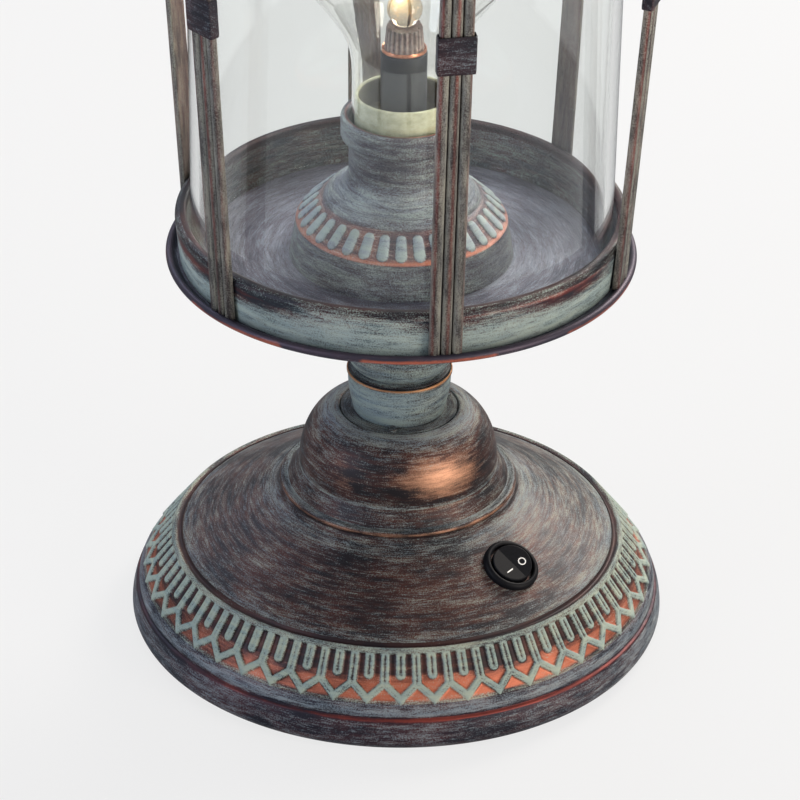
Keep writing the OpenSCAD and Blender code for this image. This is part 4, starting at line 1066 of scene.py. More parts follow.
ring = [(0, sleeve_low), (sleeve_r - 0.3, sleeve_low), (sleeve_r, sleeve_low + 0.3)]
ring += [(sleeve_r, sleeve_low + 1.1), (sleeve_r - 0.2, sleeve_low + 1.5)]
ring += [(sleeve_r - 0.6, sleeve_low + 1.3), (sleeve_r - 0.8, sleeve_low + 0.8)]
ring = turn("copper_ring", ring + [(0, sleeve_low + 0.8)], steps=128, closed=False)
dress(paint(ring), "bulb", "pillar_copper", "pillar_cap")

ribbed = []
for i in range(RIB_POINTS):
    wide = RIB_R + 0.2 * math.cos(RIBS * math.tau * i / RIB_POINTS)
    turned = math.tau * i / RIB_POINTS
    ribbed.append((wide * math.cos(turned), wide * math.sin(turned)))
sleeve = extrude("ribbed_sleeve", ribbed, (0, 0, sleeve_high - sleeve_low - 0.7), sharp=50)
sleeve.data.transform(shift(0, 0, sleeve_low + 0.6))
for vertex in sleeve.data.vertices:
    if vertex.co.z > (sleeve_low + CUP_H) * MM:
        vertex.co.x *= CUP_SHARE
        vertex.co.y *= CUP_SHARE
# Painted shade in the valleys between the ribs and over the narrower top.
r, z, azimuth = lathe_places(sleeve)
at_top = z > sleeve_low + CUP_H
rib_valley_shade = 1 - rise(r / np.where(at_top, CUP_SHARE, 1), RIB_R - 0.15, RIB_R + 0.15)
dress(paint(sleeve, 0, 0, 0.55 * rib_valley_shade + 0.5 * at_top), "bulb", "pillar_copper", "pillar_cap")

drop = [(0, ball_low)] + arc((0, ball_low + DROP_H), DROP_R, DROP_H, -89.9, 62, 26)[1:]
drop += [(2.6, ball_low + 12.2), (2.1, ball_low + 14.5)]
drop += line((1.9, ball_low + 17), (1.7, ball_high - 1), 8)
drop += [(0.9, ball_high - 0.2), (0, ball_high)]
drop = turn("glass_drop", drop, steps=96, closed=False, sharp=60)
# A painted highlight: a small spot of the glass ball glows, where the lit filament would glint in it.
x, y, z = places(drop).T
from_glint = (x - GLINT_SPOT[0]) ** 2 + (y - GLINT_SPOT[1]) ** 2 + (z - ball_low - GLINT_SPOT[2]) ** 2
glow = np.exp(-from_glint / 1.3**2) + 0.3 * np.exp(-from_glint / 3.4**2)
dress(paint(drop, 0, glow, 0), "bulb", "stem_glass", "stem_ball")

cap = [(0, cap_low), (9, cap_low), (11.6, cap_low + 1.4)]
for i in range(THREADS):
    cap += arc((12.2, cap_low + 3.2 + THREAD_PITCH * i), 0.95, 1.45, -75, 75, 8)
cap += [(12.4, cap_high - 0.9), (17.9, cap_high - 0.5), (18.0, cap_high), (0, cap_high)]
cap = turn("screw_cap", cap, steps=128, closed=False)
dress(paint(cap), "bulb", "cap_nickel", "bulb_cap")
print("the cap has", THREADS, "threads")

# %% [markdown]
# The filament strips are flat bands on a small wire ring. Each one is a cube drawn out to a strip,
# divided and bevelled in edit mode, and the strips are joined to the ring as one piece.

# %% Bend up the filament
strip_low, strip_high = span("filament_strips")[:2]
FILAMENTS = 4
STRIP_R = 4.5
STRIP_LEAN = math.radians(6)


def filament():
    """Ring and strips, standing round the stem."""
    wire = turn("filament_lit", arc((4.6, strip_low + 0.5), 0.45, 0.45, 0, 345, 11), steps=64)
    height = strip_high - strip_low - 1
    for i in range(FILAMENTS):
        bpy.ops.object.select_all(action="DESELECT")
        bpy.ops.mesh.primitive_cube_add(size=MM, scale=(0.9, 1.7, height))
        strip = bpy.context.object
        bpy.ops.object.transform_apply(location=False, rotation=False, scale=True)
        bpy.ops.object.mode_set(mode="EDIT")
        bpy.ops.mesh.subdivide(number_cuts=3)
        bpy.ops.mesh.bevel(offset=0.12 * MM, segments=1)
        bpy.ops.object.mode_set(mode="OBJECT")
        strip.data.transform(shift(STRIP_R, 0, height / 2 + strip_low + 0.4))
        tip = shift(STRIP_R, 0, strip_low) @ Matrix.Rotation(STRIP_LEAN, 4, "Y")
        strip.data.transform(tip @ shift(-STRIP_R, 0, -strip_low))
        strip.data.transform(Matrix.Rotation(math.radians(45 + i * 360 / FILAMENTS - 90), 4, "Z"))
        pick(wire, strip)
        bpy.ops.object.join()
    return wire


dress(paint(filament()), "bulb", "filament", "filament_strips")
print("filament reaches", round(strip_high, 1), "mm")

# %% [markdown]
# ## The rocker switch
#
# A round snap-in rocker switch of the usual 20 mm panel size, moulded in black nylon. It sits square to
# the cone, turned a little. The bezel is turned in the switch's own frame and then laid on the cone.
# It is made a little smaller than the construction model's, and lies a little further down the
# slope, as the photograph shows it.
# The rocker is a disc with a shallow V on top: one side pressed in. The I and O are printed on it; here
# they are thin raised shapes, so they stay crisp from near by.

# %% The switch's own frame
tip_joint = next(j for j in frame["joints"] if j["name"] == "rocker_tip")
pivot = Vector(tip_joint["pos_m"])
down_slope = -Vector(tip_joint["axis"])
outward = Vector((pivot.x, pivot.y, 0)).normalized()
cone_angle = math.atan2(CONE_TOP - CONE_LOW, CONE_LOW_R - CONE_TOP_R)
square_out = outward * math.sin(cone_angle) + Vector((0, 0, math.cos(cone_angle)))
PIVOT_DEEP = 0.4
ROCKER_TILT = math.radians(6.5)
on_cone = pivot + square_out * PIVOT_DEEP * MM
axes = Matrix((down_slope, square_out.cross(down_slope), square_out))
switch_place = Matrix.Translation(on_cone) @ axes.transposed().to_4x4()
rocker_place = switch_place @ shift(0, 0, -PIVOT_DEEP) @ Matrix.Rotation(ROCKER_TILT, 4, "X")
print("the switch is square to the cone at", [round(v / MM, 1) for v in on_cone])

# %% Mould the bezel
BEZEL_R = 10.5
BEZEL_H = 2.0
BEZEL_DOWN = 0.9
lower = shift(BEZEL_DOWN, 0, 0)
bezel = [(8.1, -8), (9.2, -8), (9.2, -1.3), (BEZEL_R - 0.1, -1.3), (BEZEL_R, 0.9)]
bezel += [(BEZEL_R - 0.35, 1.5), (BEZEL_R - 1.1, BEZEL_H), (8.8, BEZEL_H), (8.3, BEZEL_H - 0.4)]
bezel = turn("switch_bezel", eased(bezel, 0.3), steps=96)
bezel.data.transform(switch_place @ lower)
dress(paint(bezel), "base", "black_plastic", "switch_housing")
print("bezel", 2 * BEZEL_R, "mm across")

# %% Rocker body and its printed marks
ROCKER_R = 7.4
ROCKER_EDGE = 3.5
ROCKER_DEEP = 3.4
MARK_OUT = 3.3
MARK_DOWN = 2.7
PRINT_H = 0.06


def rocker_top(y):
    """Height of the rocker's top at a distance across it, in its own frame."""
    dip = ROCKER_EDGE - ROCKER_R * math.tan(ROCKER_TILT)
    return dip + abs(y) * math.tan(ROCKER_TILT)


def rocker_body():
    """Half discs on both sides of the hinge line, each rising outwards."""
    halves = []
    for side in (-1, 1):
        edge = arc((0, 0), ROCKER_R, ROCKER_R, 0, 180 * side, 40)
        half_disc = extrude("half", edge, (0, 0, ROCKER_DEEP))
        half_disc.data.transform(shift(0, 0, -ROCKER_DEEP))
        for vertex in half_disc.data.vertices:
            if vertex.co.z > -0.1 * MM:
                vertex.co.z = rocker_top(vertex.co.y / MM) * MM
        halves.append(half_disc)
    pick(*halves)
    bpy.ops.object.join()
    bpy.ops.object.mode_set(mode="EDIT")
    bpy.ops.mesh.select_all(action="SELECT")
    bpy.ops.mesh.remove_doubles(threshold=1e-6)
    bpy.ops.mesh.select_all(action="DESELECT")
    bpy.ops.mesh.select_interior_faces()
    bpy.ops.mesh.delete(type="FACE")
    piece = close_up(halves[0], "switch_rocker_moulded", 20)
    soften(piece, 0.45, 40, 3)
    bpy.ops.object.shade_smooth_by_angle(angle=math.radians(20))
    return piece


rocker = rocker_body()
rocker.data.transform(rocker_place @ lower)
dress(paint(rocker), "rocker", "black_plastic", "switch_rocker")
bar = [(-0.22, -1.5), (0.22, -1.5), (0.22, 1.5), (-0.22, 1.5)]
bar = extrude("mark_on", bar, (0, 0, PRINT_H))
circle = turn("mark_off", [(1.1, 0), (1.5, 0), (1.5, PRINT_H), (1.1, PRINT_H)], steps=48)
for printed, side in ((bar, -1), (circle, 1)):
    on_top = shift(MARK_DOWN, side * MARK_OUT, rocker_top(MARK_OUT) + 0.01)
    printed.data.transform(on_top @ Matrix.Rotation(side * ROCKER_TILT, 4, "X"))
    printed.data.transform(rocker_place)
    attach(paint(printed), "rocker")
    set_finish(printed, "white_plastic")
print("rocker points:", len(rocker.data.vertices))

# %% [markdown]
# ## The roof
#
# The photograph ends below the roof, so its shape is the usual one for such a lantern: an upright skirt
# over the crown's collar, a hollow sweep, a dome, a chimney with air holes, a hood and a knob. They are
# spun like the foot. The air holes are drilled with a Boolean modifier.

# %% Spin the roof
roof_low, roof_high, roof_r = span("roof")
chimney_low, chimney_high, chimney_r = span("chimney")
hood_low, hood_high, hood_r = span("hood")
knob_low, knob_high, knob_wide = span("knob")
skirt_r = roof_r - 1.8
SWEEP_Z = roof_low + 9
DOME_Z = SWEEP_Z + 14
DOME_R = 58


def roof_outline():
    outside = [(skirt_r, roof_low), (skirt_r + 0.9, roof_low)]
    outside += arc((skirt_r + 0.7, roof_low + 1.1), 1.1, 1.1, -60, 110, 10)
    outside += line((skirt_r, roof_low + 2.5), (skirt_r, SWEEP_Z), 6)
    outside += arc((skirt_r, DOME_Z), skirt_r - DOME_R - 1.5, 13, 264, 182, 22)
    outside += arc((DOME_R, DOME_Z + 0.8), 1.5, 1.5, -30, 120, 10)
    outside += arc((chimney_r, DOME_Z + 2), DOME_R - chimney_r - 1.5, roof_high - DOME_Z - 2, 2, 90, 26)
    inside = [(chimney_r - 4, roof_high), (chimney_r - 4, roof_high - SHEET)]
    dome_w, dome_h = DOME_R - chimney_r - 2.7, roof_high - DOME_Z - 3.2
    inside += arc((chimney_r, DOME_Z + 2), dome_w, dome_h, 90, 4, 14)
    inside += arc((skirt_r, DOME_Z), skirt_r - DOME_R - 0.3, 14.2, 182, 262, 12)
    inside += [(skirt_r - SHEET, SWEEP_Z - SHEET), (skirt_r - SHEET, roof_low)]
    return eased(outside + inside, 0.25)


# The copper on the dome's edge and the skirt's edge is wear; the copper patches on the dome towards the
# front right and at the back are partly wear and partly painted highlights.
def roof_paint(piece):
    r, z, azimuth = lathe_places(piece)
    edge = bump(z, DOME_Z + 0.9, 1.1) * bump(r, DOME_R + 1.2, 2)
    edge += bump(z, roof_low + 1.2, 0.9) * rise(r, skirt_r + 1, skirt_r + 1.6)
    wax = 0.12 * bump(z, DOME_Z - 4, 5) + 0.22 * bump(r, chimney_r + 3, 5) - 0.4 * edge
    glow = sector(azimuth, 35, 30) + 0.6 * sector(azimuth, 190, 40)
    glow *= rise(z, DOME_Z + 3, DOME_Z + 8) * bump(r, 44, 9)
    return paint(piece, wax - 0.25 * glow, 0.9 * edge + 0.6 * glow, 0)


dress(roof_paint(turn("roof_spun", roof_outline(), steps=256)), "roof", "patina_foot", "roof")
print("roof spans", round(roof_low, 1), "to", round(roof_high, 1))

# %% Spin and drill the chimney, spin the hood and turn the knob
AIR_HOLES = 8
AIR_HOLE_R = 4
STUD_R = 2.6
HOOD_TOP_R = 8
wall = line((chimney_r, chimney_low), (chimney_r, chimney_high), 10)
wall += [(chimney_r - SHEET, chimney_high), (chimney_r - SHEET, chimney_low)]
chimney = turn("chimney_spun", wall, steps=160)
for i in range(AIR_HOLES // 2):
    middle = (0, 0, (chimney_low + chimney_high) / 2 * MM)
    drill(chimney, AIR_HOLE_R, 60, middle, i * 2 * math.pi / AIR_HOLES)
paint(chimney, 0.12 * bump(lathe_places(chimney)[1], chimney_low, 3), 0.1, 0)
dress(chimney, "roof", "patina_cover", "chimney")

rim_r = hood_r - 0.8
hood_h = hood_high - hood_low
hood = [(chimney_r - 2, hood_low), (rim_r, hood_low), (hood_r, hood_low + 0.8), (rim_r, hood_low + 1.5)]
hood += arc((HOOD_TOP_R, hood_low + 1.6), rim_r - HOOD_TOP_R, hood_h - 1.6, 3, 90, 18)
hood += [(STUD_R, hood_high), (STUD_R, hood_high - SHEET)]
hood += arc((HOOD_TOP_R, hood_low + 1.4), rim_r - 9.2, hood_h - 2.6, 90, 8, 10)
hood = turn("hood_spun", eased(hood + [(chimney_r - 2, hood_low + 1.4)], 0.25), steps=192)
r, z, azimuth = lathe_places(hood)
edge = bump(z, hood_low + 0.8, 0.8) * rise(r, rim_r - 0.6, rim_r)
# The copper on the hood's rim is wear; the coppery patch towards the front right is partly a painted
# highlight.
glow = 0.3 * sector(azimuth, 30, 35) * bump(r, 22, 5)
paint(hood, 0.12 * bump(r, 11, 4) - 0.3 * edge, 0.9 * edge + glow, 0)
dress(hood, "roof", "patina_foot", "hood")

knob = [(STUD_R, knob_low), (9, knob_low), (knob_wide, knob_low + 1.2), (8.4, knob_low + 2.4)]
knob += [(5.4, knob_low + 3.6)] + arc((7.2, knob_low + 6.0), 3.4, 2.6, 225, 150, 6)
knob += arc((0, knob_low + 16.5), 8.5, 8.5, -62, 70, 24)
knob += arc((0, knob_high - 2), 2.2, 2.0, -10, 88, 8)
knob += [(0, knob_high), (0, knob_low + 8), (STUD_R, knob_low + 8)]
knob = turn("knob_turned", eased(knob, 0.2), steps=96)
r, z, azimuth = lathe_places(knob)
worn = bump(z, knob_low + 16.5, 5) * rise(r, 6, 8) + bump(r, knob_wide, 0.8)
paint(knob, 0.1 - 0.3 * worn, 0.8 * worn, 0)
dress(knob, "roof", "patina_cover", "knob")
print("top of the knob:", round(knob_high, 1))

# %% [markdown]
# ## Colour and node helpers
#
# Colours are written as they look on a screen, as sRGB hex values, and turned to linear numbers by
# one function. Each material is a small node tree, built with one function that adds a node with its
# settings and links.

# %% Material helpers


def colour(text):
    """A linear colour from an sRGB hex value."""
    parts = [int(text[i:i + 2], 16) / 255 for i in (1, 3, 5)]
    return tuple(c / 12.92 if c <= 0.04045 else ((c + 0.055) / 1.055) ** 2.4 for c in parts) + (1,)


def add(mat, kind, inputs, **settings):
    """One shader node. An input is a value, a node for its first output, or (node, output)."""
    node = mat.node_tree.nodes.new("ShaderNode" + kind)
    for key, value in settings.items():
        setattr(node, key, value)
    for key, value in inputs.items():
        if isinstance(value, bpy.types.Node):
            value = (value, 0)
        if isinstance(value, tuple) and isinstance(value[0], bpy.types.Node):
            mat.node_tree.links.new(value[0].outputs[value[1]], node.inputs[key])
        else:
            node.inputs[key].default_value = value
    return node


def material(name):
    """An empty material, its node tree cleared."""
    mat = bpy.data.materials.new(name)
    mat.use_nodes = True
    mat.node_tree.nodes.clear()
    return mat


def blend_colours(mat, share, low, high):
    """Mixes two colours, each a colour or a node, by a share."""
    return add(mat, "Mix", {0: share, 6: low, 7: high}, data_type="RGBA"), 2


def maths(mat, operation, *values, clamp=False):
    """A sum, product or other operation on values or nodes."""
    return add(mat, "Math", dict(enumerate(values)), operation=operation, use_clamp=clamp)


def ranged(mat, value, start, end, low=0.0, high=1.0, kind="LINEAR"):
    """Maps what lies between start and end to low and high."""
    return add(mat, "MapRange", {0: value, 1: start, 2: end, 3: low, 4: high}, interpolation_type=kind)


def grains(mat, size, detail=4.0, rough=0.6):
    """Noise whose coarsest grains are so many millimetres wide."""
    place = (add(mat, "TexCoord", {}), "Object")
    return add(mat, "TexNoise", {
        "Vector": place, "Scale": 1 / (size * MM), "Detail": detail, "Roughness": rough})


def painted(mat):
    """The three amounts of the attribute that the rules painted."""
    attribute = add(mat, "Attribute", {}, attribute_name="finish")
    return add(mat, "SeparateColor", {0: (attribute, "Color")})


def clear_view(mat):
    """A node with the kind of the ray, and 1 for what the camera sees directly or through glass."""
    path = add(mat, "LightPath", {})
    return path, maths(mat, "ADD", (path, "Is Camera Ray"), (path, "Is Transmission Ray"), clamp=True)


print("mid grey in linear light:", round(colour("#808080")[0], 3))

# %% [markdown]
# ## Copper patina
#
# On the real lamp steel or brass sheet is copper-plated, lacquered dark brown, and brushed on the lathe
# with a pale blue-green wax, which stays as fine threads that run round the part. Where hands and
# polishing wheels reached, the lacquer is thin and the copper shows. So the eye sees three layers:
#
# - copper, metallic, on worn edges and in rubbed patches, and laid on as painted highlights where the
#   lamps catch the metal
# - the dark lacquer over it, still half metallic, from umber to aubergine
# - wax: matt, pale, in threads about a millimetre apart and in specks of half a millimetre
#
# The threads are a noise that is stretched round the axis: it changes slowly with x and y and fast with
# the radius and the height, so it has no seam. On the posts the threads run up instead. The painted
# shade amount darkens all of it towards a near-black colour in creases, grooves and hollows.

# %% The patina material
THREAD = 1 / (0.5 * MM)
THREAD_RUN = 1 / (5 * MM)
BROAD_THREAD = 1 / (2.0 * MM)
BROAD_RUN = 1 / (14 * MM)
SPECK_SIZE = 0.42
PATCH_SIZE = 26
LACQUER_METAL = 0.6
WAX_METAL = 0.08
# The near-black colour of the painted shade.
PAINTED_SHADE_COLOUR = "#1a1418"


def patina(name, dark, warm, copper, pale, green, veil=0.38, bare=0.1, upright=False, threads=1.1):
    """Copper, lacquer and wax. veil is how much wax lies on it all over, bare how much copper."""
    mat = material(name)
    place = (add(mat, "TexCoord", {}), "Object")
    finish = painted(mat)
    flat = add(mat, "VectorMath", {0: place, 1: (1, 1, 0)}, operation="MULTIPLY")
    radius = (add(mat, "VectorMath", {0: flat}, operation="LENGTH"), "Value")

    def brushed(across, along, detail):
        """Noise drawn out along the brush: round the lamp, or up a post."""
        scale = (across, across, along) if upright else (along, along, across)
        drawn = add(mat, "VectorMath", {0: place, 1: scale}, operation="MULTIPLY")
        off_axis = 0.0 if upright else maths(mat, "MULTIPLY", radius, across)
        return add(mat, "TexNoise", {"Vector": drawn, "W": off_axis, "Scale": 1.0, "Detail": detail,
                                     "Roughness": 0.55}, noise_dimensions="4D")

    def weigh(start, *pairs):
        """start plus each noise, counted from its middle, times its weight."""
        total = start
        for noise, weight in pairs:
            total = maths(mat, "MULTIPLY_ADD", noise, weight, total)
        return maths(mat, "SUBTRACT", total, sum(weight for noise, weight in pairs) / 2)

    thread = brushed(THREAD, THREAD_RUN, 2.0)
    cloud = brushed(BROAD_THREAD, BROAD_RUN, 3.0)
    speck = grains(mat, SPECK_SIZE, 1.0, 0.5)
    patch = grains(mat, PATCH_SIZE)
    wax = weigh(maths(mat, "ADD", (finish, 0), veil),
                (thread, threads), (cloud, 0.6), (speck, 1.1), (patch, 0.5))
    wax = ranged(mat, wax, 0.16, 0.84, kind="SMOOTHSTEP")
    wear_and_highlight = weigh(maths(mat, "ADD", (finish, 1), bare),
                   (thread, 0.4), (cloud, 0.6), (patch, 0.8), (speck, 0.3))
    wear_and_highlight = ranged(mat, wear_and_highlight, 0.25, 0.95, kind="SMOOTHSTEP")
    tone = ranged(mat, maths(mat, "ADD", patch, cloud), 0.84, 1.16)
    under = blend_colours(mat, tone, colour(dark), colour(warm))
    under = blend_colours(mat, wear_and_highlight, under, colour(copper))
    # Painted shade: the shade amount darkens the lacquer towards the near-black colour.
    painted_shade = maths(mat, "MULTIPLY", (finish, 2), 0.85, clamp=True)
    under = blend_colours(mat, painted_shade, under, colour(PAINTED_SHADE_COLOUR))
    over = blend_colours(mat, ranged(mat, cloud, 0.36, 0.64), colour(pale), colour(green))
    surface = blend_colours(mat, maths(mat, "MULTIPLY", wax, 0.85), under, over)
    rough = maths(mat, "MULTIPLY_ADD", speck, 0.12, ranged(mat, wax, 0.0, 1.0, 0.45, 0.64))
    relief = maths(mat, "MULTIPLY_ADD", speck, 0.6, thread)
    bumped = add(mat, "Bump", {"Height": relief, "Strength": 0.3, "Distance": 0.1 * MM})
    shader = add(mat, "BsdfPrincipled", {
        "Base Color": surface, "Roughness": rough, "Normal": bumped,
        "Metallic": ranged(mat, wax, 0.0, 1.0, LACQUER_METAL, WAX_METAL)})
    add(mat, "OutputMaterial", {"Surface": shader})
    return mat


print("threads lie", round(1 / THREAD / MM, 2), "mm apart")

# %% [markdown]
# ## Glass, plastic and the rest
#
# Clear glass is a Principled shader that transmits all light. Shadow rays pass it as if it weren't
# there, so the lamp inside is lit, as it is through real glass, without waiting for caustics.
# The small parts are simpler: one colour that varies a little over a few millimetres, a roughness that
# varies with it and a fine bump from the way each was made.

# %% Other materials
def clear_glass(name, tint, index, glow=None):
    """Blown or drawn glass with faint unevenness. glow is the colour and strength of a painted
    highlight, an emission shown where the copper amount of the paint says so."""
    mat = material(name)
    waves = grains(mat, 30, 1.0, 0.5)
    bumped = add(mat, "Bump", {"Height": waves, "Strength": 0.04, "Distance": 0.2 * MM})
    inputs = {"Base Color": colour(tint), "Roughness": 0.0, "IOR": index, "Transmission Weight": 1.0,
              "Normal": bumped}
    if glow:
        inputs["Emission Color"] = colour(glow[0])
        inputs["Emission Strength"] = maths(mat, "MULTIPLY", (painted(mat), 1), glow[1])
    shader = add(mat, "BsdfPrincipled", inputs)
    clear = add(mat, "BsdfTransparent", {"Color": colour("#f4f6f5")})
    shadow = (add(mat, "LightPath", {}), "Is Shadow Ray")
    add(mat, "OutputMaterial", {"Surface": add(mat, "MixShader", {0: shadow, 1: shader, 2: clear})})
    return mat


def solid(name, low, high, rough=0.45, metallic=0.0, grain=1.5, bump_mm=0.03, glow=None, index=None,
          painted_shade=None, gloss=0.5):
    """A plain material whose colour and roughness drift over a grain of so many millimetres.

    deep is the colour of the hollows that are painted as shade."""
    mat = material(name)
    noise = grains(mat, grain)
    surface = blend_colours(mat, ranged(mat, noise, 0.35, 0.65), colour(low), colour(high))
    if painted_shade:
        surface = blend_colours(mat, (painted(mat), 2), surface, colour(painted_shade))
    bumped = add(mat, "Bump", {"Height": noise, "Strength": 0.4, "Distance": bump_mm * MM})
    inputs = {"Base Color": surface, "Metallic": metallic, "Normal": bumped,
              "Roughness": ranged(mat, noise, 0.3, 0.7, rough - 0.05, rough + 0.05)}
    if index:
        inputs["IOR"] = index
        inputs["Specular IOR Level"] = gloss
    if glow:
        inputs["Emission Color"] = colour(glow[0])
        inputs["Emission Strength"] = glow[1]
    add(mat, "OutputMaterial", {"Surface": add(mat, "BsdfPrincipled", inputs)})
    return mat


# Dark lacquer, warm lacquer, bared copper (also the colour of the painted highlights), pale wax, green
# wax; then what differs from the rule.
PATINAS = {
    "foot": ("#232026 #4a2a24 #b8694a #74868c #84938c", {}),
    "rim": ("#1f1d29 #40232a #8a3d33 #6f7d88 #7c878c", {"veil": 0.3}),
    "border": ("#2a2126 #55302a #b4674d #869a98 #9aa89a", {"threads": 0.7}),
    "cone": ("#221e22 #4a2a24 #d09c7c #74828a #828c86", {"veil": 0.27}),
    "neck": ("#26272e #452f2c #a87a56 #74878f #81938f", {"veil": 0.4, "threads": 0.8}),
    "vase": ("#1f1e26 #352c32 #96594a #74858f #82959a", {"veil": 0.3, "threads": 0.8}),
    "tray": ("#363340 #463c48 #b0604a #757f8e #7e8896", {"veil": 0.32, "threads": 0.8}),
    "gallery": ("#2c323c #55282a #9a483c #8b9d9e #98aaa4", {"veil": 0.33, "threads": 0.8}),
    "cover": ("#39353f #4b4047 #a8664e #7a8591 #8c9b98", {"threads": 0.7}),
    "post": ("#3a3334 #4f403d #85362f #7f827f #8c8d83",
             {"veil": 0.5, "bare": 0.02, "upright": True, "threads": 0.6}),
    "collar": ("#25262f #3c2f36 #6e3c36 #74848f #83949c", {"veil": 0.3}),
}
FINISHES = {
    "chimney_glass": clear_glass("borosilicate_tube", "#f6f8f7", 1.47),
    "bulb_glass": clear_glass("blown_soda_glass", "#fdfdfb", 1.5),
    # The stem glass's glow is the painted highlight in the ball; the glass is no lamp.
    "stem_glass": clear_glass("amber_glass_painted_glint", "#f6e6cf", 1.5, glow=("#ffcf7a", 6.0)),
    "black_plastic": solid("moulded_nylon_black", "#0c0d10", "#131419", 0.5, grain=0.6, index=1.5,
                           gloss=0.1),
    "white_plastic": solid("printed_ink_white", "#e2e2df", "#f0f0ee", 0.5, grain=0.8),
    "cap_nickel": solid("plated_nickel", "#a9a9ab", "#c2c2c2", 0.3, 1.0, grain=2),
    "black_glass": solid("pressed_black_glass", "#0b0b0d", "#151519", 0.12, grain=3, index=1.52),
    # The cement's deep colour is the colour of its painted shade.
    "cement": solid("lamp_cement", "#a3a48c", "#bcbda6", 0.8, grain=2.5, bump_mm=0.08,
                    painted_shade="#4b4a38"),
    "pillar_dark": solid("lacquered_pillar", "#12151c", "#20242e", 0.6, grain=1.2, bump_mm=0.04),
    "pillar_copper": solid("drawn_copper", "#a5654a", "#cf9478", 0.35, 0.9),
    # The fluted sleeve's deep colour is the colour of its painted shade.
    "ribbed_sleeve": solid("fluted_glass_sleeve", "#8b7876", "#ab9c96", 0.3, grain=1.2, index=1.5,
                           painted_shade="#43302c"),
    "filament": solid("lit_phosphor_strip", "#e8a23a", "#ffc060", 0.6, grain=0.8,
                      glow=("#ffb648", 1.6)),
    "brass": solid("turned_brass", "#a58a4e", "#c2a768", 0.32, 1.0, grain=1.8),
    "zinc_steel": solid("zinc_plated_steel", "#8c8f94", "#a8abb0", 0.4, 1.0, grain=3),
    "iron": solid("cast_iron", "#242427", "#343438", 0.6, 0.6, grain=1.2, bump_mm=0.15),
    "felt": solid("wool_felt", "#18211c", "#2a352e", 0.95, grain=0.5, bump_mm=0.3),
    "rubber": solid("moulded_rubber", "#111112", "#1b1b1c", 0.6, grain=0.9),
    "porcelain": solid("glazed_porcelain", "#ddd8cb", "#ebe7dc", 0.18, grain=5, bump_mm=0.02,
                       index=1.5),
}
for part, (tones, rules) in PATINAS.items():
    FINISHES["patina_" + part] = patina("copper_patina_" + part, *tones.split(), **rules)
for tint, low, high in (("brown", "#5c3618", "#724524"), ("red", "#7c1a14", "#982820"),
                        ("blue", "#183a70", "#264a86")):
    FINISHES["wire_" + tint] = solid("pvc_" + tint, low, high, 0.5, grain=2)
print("finishes:", len(FINISHES))

# %% Give every part its finish
slots = {part["node"]: part["material_slot"] for part in frame["record"]["subparts"]}
# Pieces whose coat differs in tone from the rest of their slot.
COATS = {"foot_rim": "patina_rim", "foot_border": "patina_border", "foot_cone": "patina_cone",
         "roof_spun": "patina_cone", "hood_spun": "patina_cone", "ribbed_sleeve": "ribbed_sleeve"}
replaced = set()
for piece in bpy.data.objects:
    replaced.update(piece.get("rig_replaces", []))
for piece in list(bpy.data.objects):
    if piece.type != "MESH":
        continue
    if "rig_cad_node" in piece:
        finish_name = slots[piece["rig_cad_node"]]
    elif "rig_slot" in piece:
        finish_name = COATS.get(piece.name, piece["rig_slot"])
    else:
        continue
    piece.data.materials.clear()
    piece.data.materials.append(FINISHES[finish_name])
print("parts shown as the construction model has them:", len(slots) - len(replaced))

# %% [markdown]
# ## Floor, backdrop and light
#
# The lamp was photographed on plain pale paper, cut out so cleanly that it has almost no shadow. The
# floor is a wide sheet. Its colour to the camera is mostly its own pale tone, with a share of real
# diffuse light that keeps a faint contact shadow. The world is the same pale tone to the camera. Both
# are darker in what the metal mirrors, or its dark lacquer would look washed out. Five soft boxes shape
# the metal: one from the right that makes the copper glow, a cooler one from the left, one overhead,
# and two behind that draw its edges.

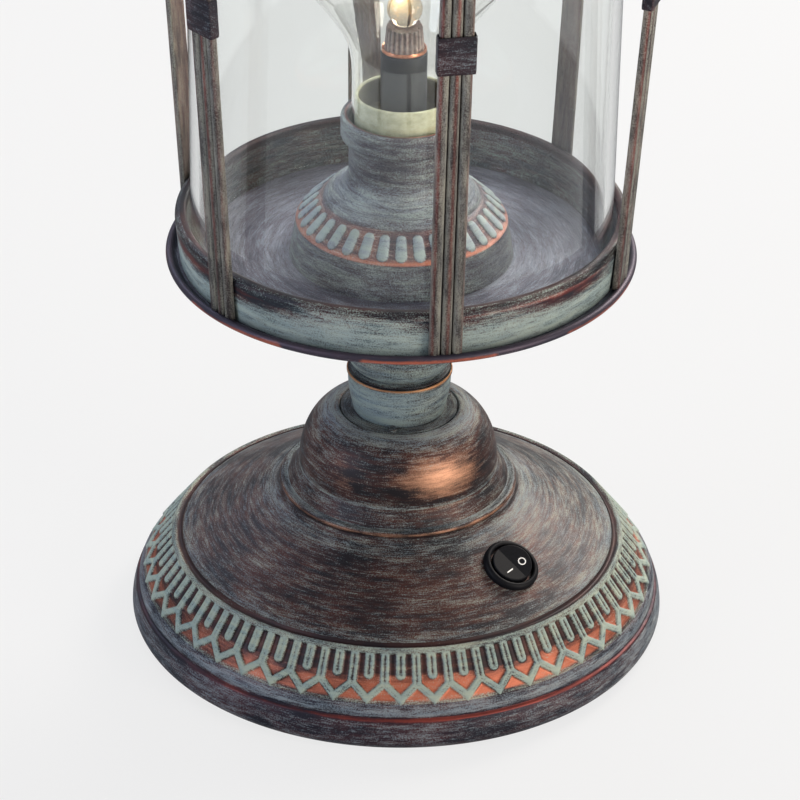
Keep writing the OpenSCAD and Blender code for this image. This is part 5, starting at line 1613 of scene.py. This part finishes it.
# %% Build the set
BACKDROP = "#eeeeee"
MIRRORED = "#9a9c9e"
SKY_LEVEL = 0.42
OWN_SHARE = 0.9
bpy.ops.object.select_all(action="DESELECT")
bpy.ops.mesh.primitive_grid_add(x_subdivisions=8, y_subdivisions=8, size=12, location=(0, 0, 0))
floor = bpy.context.object
floor.name = "paper_floor"
paper = material("pale_paper")
path, seen = clear_view(paper)
lit = add(paper, "BsdfDiffuse", {"Color": colour("#f0f0f0")})
own = add(paper, "Emission", {"Color": colour(BACKDROP), "Strength": 1.0})
plain = add(paper, "MixShader", {0: maths(paper, "MULTIPLY", seen, OWN_SHARE), 1: lit, 2: own})
dim = add(paper, "Emission", {"Color": colour(MIRRORED), "Strength": 1.0})
mirrored = maths(paper, "SUBTRACT", (path, "Is Glossy Ray"), (path, "Is Transmission Ray"), clamp=True)
add(paper, "OutputMaterial", {"Surface": add(paper, "MixShader", {0: mirrored, 1: plain, 2: dim})})
floor.data.materials.append(paper)

world = bpy.data.worlds.new("studio")
bpy.context.scene.world = world
world.use_nodes = True
world.node_tree.nodes.clear()
level = ranged(world, clear_view(world)[1], 0.0, 1.0, SKY_LEVEL, 1.0)
sky = add(world, "Background", {"Color": colour(BACKDROP), "Strength": level})
add(world, "OutputWorld", {"Surface": sky})
print("backdrop:", BACKDROP)

# %% Light it


def soft_box(name, azimuth, height, distance, wide, tall, power, tint):
    """A rectangular lamp on a stand, turned to the middle of the lamp. Lengths in metres."""
    data = bpy.data.lights.new(name, "AREA")
    data.shape = "RECTANGLE"
    data.size, data.size_y = wide, tall
    data.energy = power
    data.color = colour(tint)[:3]
    lamp = bpy.data.objects.new(name, data)
    bpy.context.scene.collection.objects.link(lamp)
    turned = math.radians(azimuth)
    lamp.location = (distance * math.sin(turned), -distance * math.cos(turned), height)
    aim = Vector((0, 0, 0.12)) - lamp.location
    lamp.rotation_euler = aim.to_track_quat("-Z", "Y").to_euler()
    return lamp


soft_box("box_right", 54, 0.4, 1.3, 0.5, 1.0, 15, "#fff2e4")
soft_box("box_left", -62, 0.6, 1.4, 0.5, 1.0, 9, "#e2eaff")
soft_box("box_top", 175, 1.5, 0.9, 1.1, 0.9, 9, "#ffffff")
soft_box("box_back_right", 141, 1.0, 1.3, 0.55, 0.55, 26, "#fff6ec")
soft_box("box_back_left", -140, 1.1, 1.4, 0.6, 0.6, 6, "#dce6ff")
bpy.context.scene.view_settings.view_transform = "Standard"
